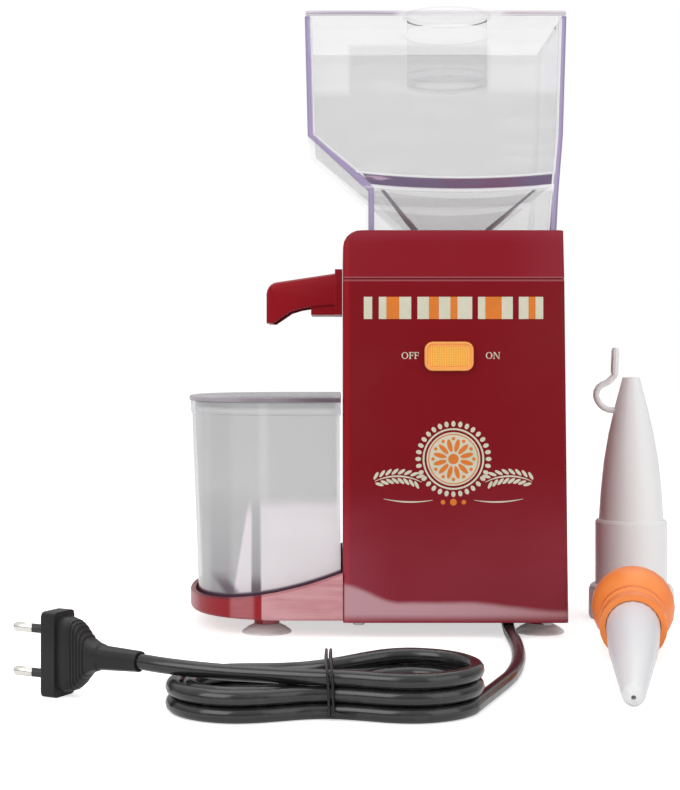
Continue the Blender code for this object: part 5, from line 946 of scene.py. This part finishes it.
def turn_points(k):
    """One turn of the hank, clockwise from above; it changes lane on its far side."""
    lane, layer = TURNS[k]
    radius = LANES[lane]
    z = CORD_R * (1 + 2 * layer)
    shares = [2 * step / CROSSING_STEPS - 1 for step in range(1, CROSSING_STEPS)]
    points = []
    for side, start in ((1, 90), (-1, -90)):
        for step in range(LOBE_STEPS + 1):
            angle = math.radians(start - 180 / LOBE_STEPS * step)
            points.append((HANK_X + side * LOBE_REACH + radius * math.cos(angle),
                           HANK_Y + radius * math.sin(angle), z))
        if side == 1:
            points += [(HANK_X - LOBE_REACH * share, HANK_Y - radius + drawn_in(share), z)
                       for share in shares]
    if k + 1 < len(TURNS):
        next_lane, next_layer = TURNS[k + 1]
        for share in shares:
            eased = ((share + 1) / 2) ** 2 * (3 - (share + 1))
            wide = radius + (LANES[next_lane] - radius) * eased
            points.append((HANK_X + LOBE_REACH * share, HANK_Y + wide - drawn_in(share),
                           z + 2 * CORD_R * (next_layer - layer) * eased))
    return points


def cord_route():
    """The lead, the turns and the tail; the first turn starts where the lead meets its lobe."""
    joined = HANK_X + LOBE_REACH
    first = [p for p in turn_points(0) if not (p[0] > joined - 0.01 and p[1] > LEAD[-1][1] - 0.1)]
    route = list(LEAD) + first
    for k in range(1, len(TURNS) - 1):
        route += turn_points(k)
    route += turn_points(len(TURNS) - 1)[:LAST_TURN_POINTS]
    return route + list(TAIL)


def smoothed(points, steps=4):
    """Points of a smooth curve through the given ones."""
    given = [Vector(p) for p in points]
    padded = [given[0] * 2 - given[1], *given, given[-1] * 2 - given[-2]]
    fine = []
    for a, b, c, d in zip(padded, padded[1:], padded[2:], padded[3:]):
        for step in range(steps):
            t = step / steps
            fine.append(0.5 * (2 * b + (c - a) * t + (2 * a - 5 * b + 4 * c - d) * t * t
                               + (3 * b - a - 3 * c + d) * t ** 3))
    return fine + [given[-1]]


def curve_piece(name, points, radius, finish):
    curve = bpy.data.curves.new(name, "CURVE")
    curve.dimensions = "3D"
    curve.bevel_depth = radius * MM
    curve.bevel_resolution = 4
    curve.use_fill_caps = True
    spline = curve.splines.new("POLY")
    spline.points.add(len(points) - 1)
    for target, point in zip(spline.points, points):
        target.co = (*place(*point), 1.0)
    return link_piece(name, curve, finish, "housing")


def tie_points():
    """A wire tie twice round the hank's waist, with a short twist at its near side."""
    half = LANES[0] + CORD_R - WAIST + 0.9
    top = CORD_R * 6 + 0.7
    low = 1.1
    points = []
    for wrap in range(TIE_TURNS):
        x = HANK_X + wrap * TIE_PITCH
        points += [
            (x, HANK_Y - half + 3, low), (x, HANK_Y + half - 3, low),
            (x, HANK_Y + half, 5.0), (x, HANK_Y + half, top - 5),
            (x + 0.4, HANK_Y + half - 4, top), (x + 0.9, HANK_Y - half + 4, top),
            (x + 1.3, HANK_Y - half, top - 5), (x + 1.7, HANK_Y - half, 5.0),
        ]
    end = points[-1]
    return points + [(end[0] + 1.0, end[1] - 1.2, 3.4), (end[0] + 4.5, end[1] - 1.8, 3.0),
                     (end[0] + 9.0, end[1] - 1.4, 3.6)]


# Stage

# Lamps: place, side in metres, and share of the main lamp's power
LAMPS = (
    ("key_softbox", (-520, -760, 620), 0.7, 1.0),
    ("fill_softbox", (720, -640, 420), 0.8, 0.55),
    ("top_softbox", (60, 120, 900), 0.9, 0.6),
)
LAMPS_AIM = (30, 0, 130)

# Room as glossy surfaces mirror it: dark near the floor, white above a direction's height
ROOM_DARK, ROOM_WHITE_FROM = 0.3, 0.8
FLOOR_HALF, FLOOR_GLOW, FLOOR_GLOW_MIRRORED = 6.0, 0.6, 0.25


def area_light(name, spot, side, power):
    """A square soft lamp that faces the machine."""
    data = bpy.data.lights.new(name, "AREA")
    data.shape = "RECTANGLE"
    data.size = data.size_y = side
    data.energy = power
    lamp = bpy.data.objects.new(name, data)
    bpy.context.scene.collection.objects.link(lamp)
    lamp.location = place(*spot)
    facing = place(*LAMPS_AIM) - place(*spot)
    lamp.rotation_euler = facing.to_track_quat("-Z", "Y").to_euler()


def white_world(strength):
    """A world that looks white, lights at a strength and is mirrored as a room."""
    world = bpy.data.worlds.new("studio")
    bpy.context.scene.world = world
    world.use_nodes = True
    tree = world.node_tree
    paths = tree.nodes.new("ShaderNodeLightPath").outputs
    seen, through, mirrored = (
        Value(tree, paths[f"Is {kind} Ray"]) for kind in ("Camera", "Transmission", "Glossy"))
    ambient = add_node(tree, "ShaderNodeMapRange",
                       {"Value": seen.larger(through), "To Min": strength, "To Max": 1.0})
    direction = add_node(tree, "ShaderNodeTexCoord", output="Generated")
    height = add_node(tree, "ShaderNodeSeparateXYZ", {0: direction}, "Z")
    room = add_node(tree, "ShaderNodeMapRange",
                    {"Value": height, "From Max": ROOM_WHITE_FROM, "To Min": ROOM_DARK})
    level = add_node(tree, "ShaderNodeMix", {"Factor": mirrored, "A": ambient, "B": room})
    background = tree.nodes["Background"].inputs
    fill(background["Strength"], level)
    fill(background["Color"], (1, 1, 1, 1))


def make_floor():
    """A floor that glows towards the camera, so that it shows white but keeps soft shadows."""
    mesh = bpy.data.meshes.new("floor")
    corners = ((-1, -1), (1, -1), (1, 1), (-1, 1))
    mesh.from_pydata([(x * FLOOR_HALF, y * FLOOR_HALF, 0) for x, y in corners], [],
                     [(0, 1, 2, 3)])
    floor = bpy.data.objects.new("floor", mesh)
    bpy.context.scene.collection.objects.link(floor)
    made = Finish("pale_floor", (0.9, 0.9, 0.9), 0.9)
    seen, through, mirrored = (
        made.node("ShaderNodeLightPath", output=f"Is {kind} Ray")
        for kind in ("Camera", "Transmission", "Glossy"))
    made.set("Emission Color", (1, 1, 1, 1))
    made.set("Emission Strength",
             (seen + through) * FLOOR_GLOW + mirrored * FLOOR_GLOW_MIRRORED)
    mesh.materials.append(made.material)


# Settings and operators

class NutButterColours(bpy.types.PropertyGroup):
    housing: bpy.props.FloatVectorProperty(
        name="Housing", description="Colour of the red mouldings", subtype="COLOR", size=3,
        min=0.0, max=1.0, default=(0.205, 0.0035, 0.009))
    clear_edge: bpy.props.FloatVectorProperty(
        name="Clear edge", description="Colour that gathers at the clear hopper's edges",
        subtype="COLOR", size=3, min=0.0, max=1.0, default=(0.33, 0.25, 0.47))
    world_level: bpy.props.FloatProperty(
        name="Ambient level", description="Strength of the studio's ambient light", default=0.5,
        min=0.0, max=2.0)
    lamp_power: bpy.props.FloatProperty(
        name="Lamp power", description="Power of the main soft lamp", default=4.0, min=0.0,
        unit="POWER")


class NUT_OT_studio(bpy.types.Operator):
    """Add the photograph's camera, soft lamps, white world and floor"""
    bl_idname = "nut_butter.studio"
    bl_label = "Studio"

    def execute(self, context):
        settings = context.scene.nut_butter_colours
        data = bpy.data.cameras.new("camera")
        camera = bpy.data.objects.new("camera", data)
        context.scene.collection.objects.link(camera)
        context.scene.camera = camera
        data.sensor_width = SENSOR
        data.lens = SENSOR * FOCAL_PIXELS / PHOTO_HEIGHT
        data.shift_y = -(PHOTO_HEIGHT / 2 - EYE_ROW) / PHOTO_HEIGHT
        data.clip_start = 0.01
        camera.location = place(0, -CAMERA_DISTANCE, EYE_HEIGHT)
        camera.rotation_euler = (math.radians(90), 0, 0)
        context.scene.view_settings.view_transform = "Standard"
        white_world(settings.world_level)
        make_floor()
        for name, spot, side, share in LAMPS:
            area_light(name, spot, side, settings.lamp_power * share)
        return {"FINISHED"}


class NUT_OT_housing(bpy.types.Operator):
    """Dress the housing's red mouldings and the spout"""
    bl_idname = "nut_butter.housing"
    bl_label = "Housing"

    def execute(self, context):
        for node, finish in (("body_shell", "red"), ("base_plate", "red"), ("top_cover", "cover"),
                             ("spout", "spout")):
            smooth_moulding(node, finish)
        return {"FINISHED"}


class NUT_OT_tray(bpy.types.Operator):
    """Dress the tray that carries the cup"""
    bl_idname = "nut_butter.tray"
    bl_label = "Tray"

    def execute(self, context):
        smooth_moulding("cup_tray", "tray", close_to_wall)
        return {"FINISHED"}


class NUT_OT_feet(bpy.types.Operator):
    """Dress the four suction feet"""
    bl_idname = "nut_butter.feet"
    bl_label = "Suction feet"

    def execute(self, context):
        for carrier in ("tray", "housing"):
            for end in ("front", "back"):
                smooth_moulding(f"{carrier}_foot_{end}", "foot")
        return {"FINISHED"}


class NUT_OT_hopper(bpy.types.Operator):
    """Dress the clear hopper and its lid with the filling port"""
    bl_idname = "nut_butter.hopper"
    bl_label = "Hopper and lid"

    def execute(self, context):
        smooth_moulding("hopper", "hopper")
        smooth_moulding("hopper_lid", "lid", leave_out_bore)
        return {"FINISHED"}


class NUT_OT_cup(bpy.types.Operator):
    """Dress the clear cup and its lid, and add the lid's small tab"""
    bl_idname = "nut_butter.cup"
    bl_label = "Cup and lid"

    def execute(self, context):
        smooth_moulding("cup", "cup")
        smooth_moulding("cup_lid", "cup_lid")
        shape = bmesh.new()
        add_plate(shape, rectangle(-2.7, -0.2, 112.9, 118.8), None, -66.3, -66.75)
        new_piece("cup_lid_tab", shape, "cup_lid", "cup_lid")
        return {"FINISHED"}


class NUT_OT_switch(bpy.types.Operator):
    """Dress the sliding switch and its button"""
    bl_idname = "nut_butter.switch"
    bl_label = "Switch"

    def execute(self, context):
        smooth_moulding("switch_button", "button")
        dress("black", "switch_body")
        return {"FINISHED"}


class NUT_OT_accessories(bpy.types.Operator):
    """Dress the oil nozzle and the dropper"""
    bl_idname = "nut_butter.accessories"
    bl_label = "Nozzle and dropper"

    def execute(self, context):
        smooth_moulding("oil_nozzle", "nozzle")
        smooth_moulding("dropper_tube", "tube")
        smooth_moulding("dropper_bulb", "bulb")
        return {"FINISHED"}


class NUT_OT_drive(bpy.types.Operator):
    """Dress the grinding set, the gears, the motor and the screws inside the housing"""
    bl_idname = "nut_butter.drive"
    bl_label = "Grinder and motor"

    def execute(self, context):
        dress("cast", "grinding_chamber")
        dress("dark", "burr_ring", "motor_can", "motor_rotor")
        dress("brass", "shaft_bush_upper", "shaft_bush_lower", "motor_pinion")
        dress("nylon", "drive_gear", "motor_fan")
        dress("black", "motor_end_cap")
        dress("steel", "grinding_cone", "drive_shaft", "gearbox_plate", "motor_bearing_top",
              "motor_bearing_bottom", *(f"base_screw_{k}" for k in range(1, 5)))
        return {"FINISHED"}


class NUT_OT_stripes(bpy.types.Operator):
    """Print the row of cream and orange stripes"""
    bl_idname = "nut_butter.stripes"
    bl_label = "Stripes"

    def execute(self, context):
        for name, finish, stripes, layer in (
            ("cream_stripes", "cream", CREAM_STRIPES, 0),
            ("orange_stripes", "orange", ORANGE_STRIPES, 1),
        ):
            shape = bmesh.new()
            for left, right in stripes:
                add_plate(shape, rectangle(left, right, STRIPE_BOTTOM, STRIPE_TOP), None,
                          *ink_levels(layer))
            new_piece(name, shape, finish, "housing")
        return {"FINISHED"}


class NUT_OT_lettering(bpy.types.Operator):
    """Print the switch's ON and OFF"""
    bl_idname = "nut_butter.lettering"
    bl_label = "Switch lettering"

    def execute(self, context):
        shape = bmesh.new()
        for letter, left, width in LETTERS:
            add_letter(shape, letter, left, width, ink_levels())
        new_piece("switch_lettering", shape, "cream", "housing")
        return {"FINISHED"}


class NUT_OT_emblem(bpy.types.Operator):
    """Print a plain emblem, a sun flower between two leafy sprigs"""
    bl_idname = "nut_butter.emblem"
    bl_label = "Emblem"

    def execute(self, context):
        draw_emblem()
        return {"FINISHED"}


class NUT_OT_mains_lead(bpy.types.Operator):
    """Draw the mains lead in one length, tied in its hank, with its plug and tie"""
    bl_idname = "nut_butter.mains_lead"
    bl_label = "Mains lead"

    def execute(self, context):
        smooth_moulding("cord_boot", "black")
        plug = [smooth_moulding("plug_body", "black"),
                smooth_moulding("plug_pin_upper", "pins"),
                smooth_moulding("plug_pin_lower", "pins")]
        route = smoothed(cord_route())
        lead = curve_piece("mains_lead", route, CORD_R, "jacket")
        tie = curve_piece("hank_tie", smoothed(tie_points(), 5), TIE_R, "wire")
        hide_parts("cord_lead", "cord_hank", "cord_tail")
        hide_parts("cord_tie")
        tuple(place(*LEAD[0]))
        return {"FINISHED"}


OPERATORS = (
    NUT_OT_housing, NUT_OT_tray, NUT_OT_feet, NUT_OT_hopper, NUT_OT_cup, NUT_OT_switch,
    NUT_OT_accessories, NUT_OT_drive, NUT_OT_stripes, NUT_OT_lettering, NUT_OT_emblem,
    NUT_OT_mains_lead, NUT_OT_studio,
)


class NUT_PT_looks(bpy.types.Panel):
    """Lists the steps that dress the machine"""
    bl_idname = "NUT_PT_looks"
    bl_label = "Nut Butter Machine"
    bl_space_type = "VIEW_3D"
    bl_region_type = "UI"
    bl_category = "Nut Butter"

    def draw(self, context):
        settings = context.scene.nut_butter_colours
        for name in ("housing", "clear_edge", "world_level", "lamp_power"):
            self.layout.prop(settings, name)
        for operator in OPERATORS:
            self.layout.operator(operator.bl_idname)


CLASSES = (NutButterColours, *OPERATORS, NUT_PT_looks)


def register():
    for item in CLASSES:
        bpy.utils.register_class(item)
    bpy.types.Scene.nut_butter_colours = bpy.props.PointerProperty(type=NutButterColours)


def unregister():
    del bpy.types.Scene.nut_butter_colours
    for item in reversed(CLASSES):
        bpy.utils.unregister_class(item)


def main():
    register()
    for operator in OPERATORS:
        group, step = operator.bl_idname.split(".")
        getattr(getattr(bpy.ops, group), step)()


if __name__ == "__main__":
    main()
